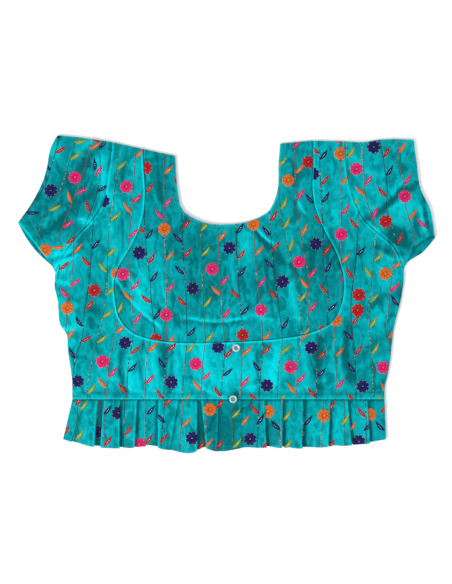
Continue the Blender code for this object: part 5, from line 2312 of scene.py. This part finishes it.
class CHOLI_OT_sewing(bpy.types.Operator):
    """Sews the topstitching along the edges, and sews the buttons on"""

    bl_idname = "choli.sewing"
    bl_label = "Topstitching"

    def execute(self, context):
        thread = context.scene.choli_thread
        material = sewing_material(opaque(thread.sewing))
        thickness = context.scene.choli_cloth.thickness / MM
        stitch = stitch_motif(2.4, 0.55, 0.4)
        sources = {"line": stitched_line_tree(), "stitch": stitch, "material": material}
        colours = {"sewing": tuple(thread.sewing)}
        sleeves = sleeve_layers()
        waist = np.array([(x, WAIST_Y + WAIST_STITCH) for x in range(-206, 207, 4)], float)
        lap = np.array([(LAP_EDGE_X - LAP_STITCH, y) for y in range(-134, -66, 4)], float)
        lines = [
            (moved_left(NECK_EDGE, -3.0), outline_of(bib_edges()), drape_on(bib_height, 1), 0),
            (waist, outline_of(left_edges()), drape_on(left_height, 1), 0),
            (lap, outline_of(left_edges()), drape_on(left_height, 1), 0),
            (waist, outline_of(right_edges()), drape_on(side_height, 1), 0),
        ]
        for name in sleeves:
            over = sleeves[name][0]
            cuff = over[len(over) - 1 - round(CUFF_STITCH / row_depth(over))]
            lines.append((cuff, patch_outline(over), drape_on(sleeve_height, 1), 0))
        for panel in PEPLUMS:
            pleats, left, right = PEPLUMS[panel][:3]
            ends = [left[1], *(pleat[2] for pleat in pleats), right[1]]
            for run, (a, b) in enumerate(zip(ends, ends[1:])):
                if b - a > 6:
                    x = np.linspace(a + 1.5, b - 1.5, 9)
                    hem = np.stack([x, hem_y(x) + HEM_STITCH], axis=1)
                    lines.append((hem, None, drape_on_peplum(panel, thickness), run))
        for _, x, y in BUTTONS:
            top = FRONT_TOP + LAP_RISE + 3.4
            for side in (-1, 1):
                bar = np.array([(x + side, y - 1.3), (x + side, y + 1.3)])
                lines.append((bar, None, drape_on(level_at(top), 1), 0))
        loop = vine_path(LOOP)
        lines.append((loop, None, drape_on(level_at(FRONT_TOP + LAP_RISE + 1.6), 1), 0))
        layers = []
        for line, outline, drape, run in lines:
            sewn = embroidered([("sewing", line, run)], [], sources, colours, pitch=3.0, slant=0.0)
            layers += [(mesh, drape, outline, 1) for mesh in sewn]
        dress(sew_down("topstitching", layers, material), None)
        bpy.data.objects.remove(sources["stitch"])
        return {"FINISHED"}


class CHOLI_OT_buttons(bpy.types.Operator):
    """Makes the two pearl buttons"""

    bl_idname = "choli.buttons"
    bl_label = "Buttons"

    def execute(self, context):
        settings = context.scene.choli_button
        material = pearl_material(opaque(settings.rim), opaque(settings.hollow))
        for name, x, y in BUTTONS:
            make_button(name, x, y, material)
        return {"FINISHED"}


# The stage: the floor's half width and height in millimetres, then in metres each light's name,
# place and size, with its share of the key light's power, and the camera's place over the garment
FLOOR_HALF = 3000.0
FLOOR_Z = -0.4
LIGHTS = (
    ("key", (-1.9, -1.5, 1.5), (1.4, 1.0), 1.0),
    ("top", (0.9, 1.0, 2.4), (1.8, 1.8), 0.2),
)
CAMERA_PLACE = (-0.00065, 0.0026, 1.799)
LENS = 85.0


class CHOLI_OT_stage(bpy.types.Operator):
    """Sets the floor, the lights and the camera over the garment"""

    bl_idname = "choli.stage"
    bl_label = "Floor, light and camera"

    def execute(self, context):
        settings = context.scene.choli_stage
        ways = ((-1, -1), (1, -1), (1, 1), (-1, 1))
        corners = [(a * FLOOR_HALF, b * FLOOR_HALF, FLOOR_Z) for a, b in ways]
        material, builder, shader = new_material("pale floor")
        link_in(builder, shader, {"Base Color": opaque(settings.floor), "Roughness": 0.9})
        floor = add_piece("floor", new_mesh("floor", corners, faces=[(0, 1, 2, 3)]), material)
        for name, place, size, share in LIGHTS:
            area_light(name, place, size, share * settings.key_power)
        world = bpy.data.worlds.new("studio")
        world.use_nodes = True
        backdrop = world.node_tree.nodes["Background"]
        backdrop.inputs["Color"].default_value = (1, 1, 1, 1)
        backdrop.inputs["Strength"].default_value = settings.fill
        context.scene.world = world
        context.scene.view_settings.view_transform = "Standard"
        lens = bpy.data.cameras.new("camera")
        lens.lens = LENS
        camera = bpy.data.objects.new("camera", lens)
        context.scene.collection.objects.link(camera)
        camera.location = CAMERA_PLACE
        context.scene.camera = camera
        return {"FINISHED"}


class CHOLI_PT_sidebar(bpy.types.Panel):
    """Lists the pieces and their sizes and colours"""

    bl_label = "Choli blouse"
    bl_idname = "CHOLI_PT_sidebar"
    bl_space_type = "VIEW_3D"
    bl_region_type = "UI"
    bl_category = "Choli"

    def draw(self, context):
        for group in SETTINGS:
            box = self.layout.box()
            for name in SETTINGS[group].__annotations__:
                box.prop(getattr(context.scene, group), name)
        for step in STEPS:
            self.layout.operator(step.bl_idname)


SETTINGS = {
    "choli_cloth": CholiClothSettings,
    "choli_thread": CholiThreadSettings,
    "choli_button": CholiButtonSettings,
    "choli_stage": CholiStageSettings,
}
STEPS = (
    CHOLI_OT_back,
    CHOLI_OT_front,
    CHOLI_OT_sleeves,
    CHOLI_OT_peplum,
    CHOLI_OT_embroidery,
    CHOLI_OT_sewing,
    CHOLI_OT_buttons,
    CHOLI_OT_stage,
)


def register():
    for settings in (*SETTINGS.values(), *STEPS, CHOLI_PT_sidebar):
        bpy.utils.register_class(settings)
    for group, settings in SETTINGS.items():
        setattr(bpy.types.Scene, group, bpy.props.PointerProperty(type=settings))


def unregister():
    for group in SETTINGS:
        delattr(bpy.types.Scene, group)
    for settings in reversed((*SETTINGS.values(), *STEPS, CHOLI_PT_sidebar)):
        bpy.utils.unregister_class(settings)


def main():
    register()
    for step in STEPS:
        family, action = step.bl_idname.split(".")
        getattr(getattr(bpy.ops, family), action)()


if __name__ == "__main__":
    main()
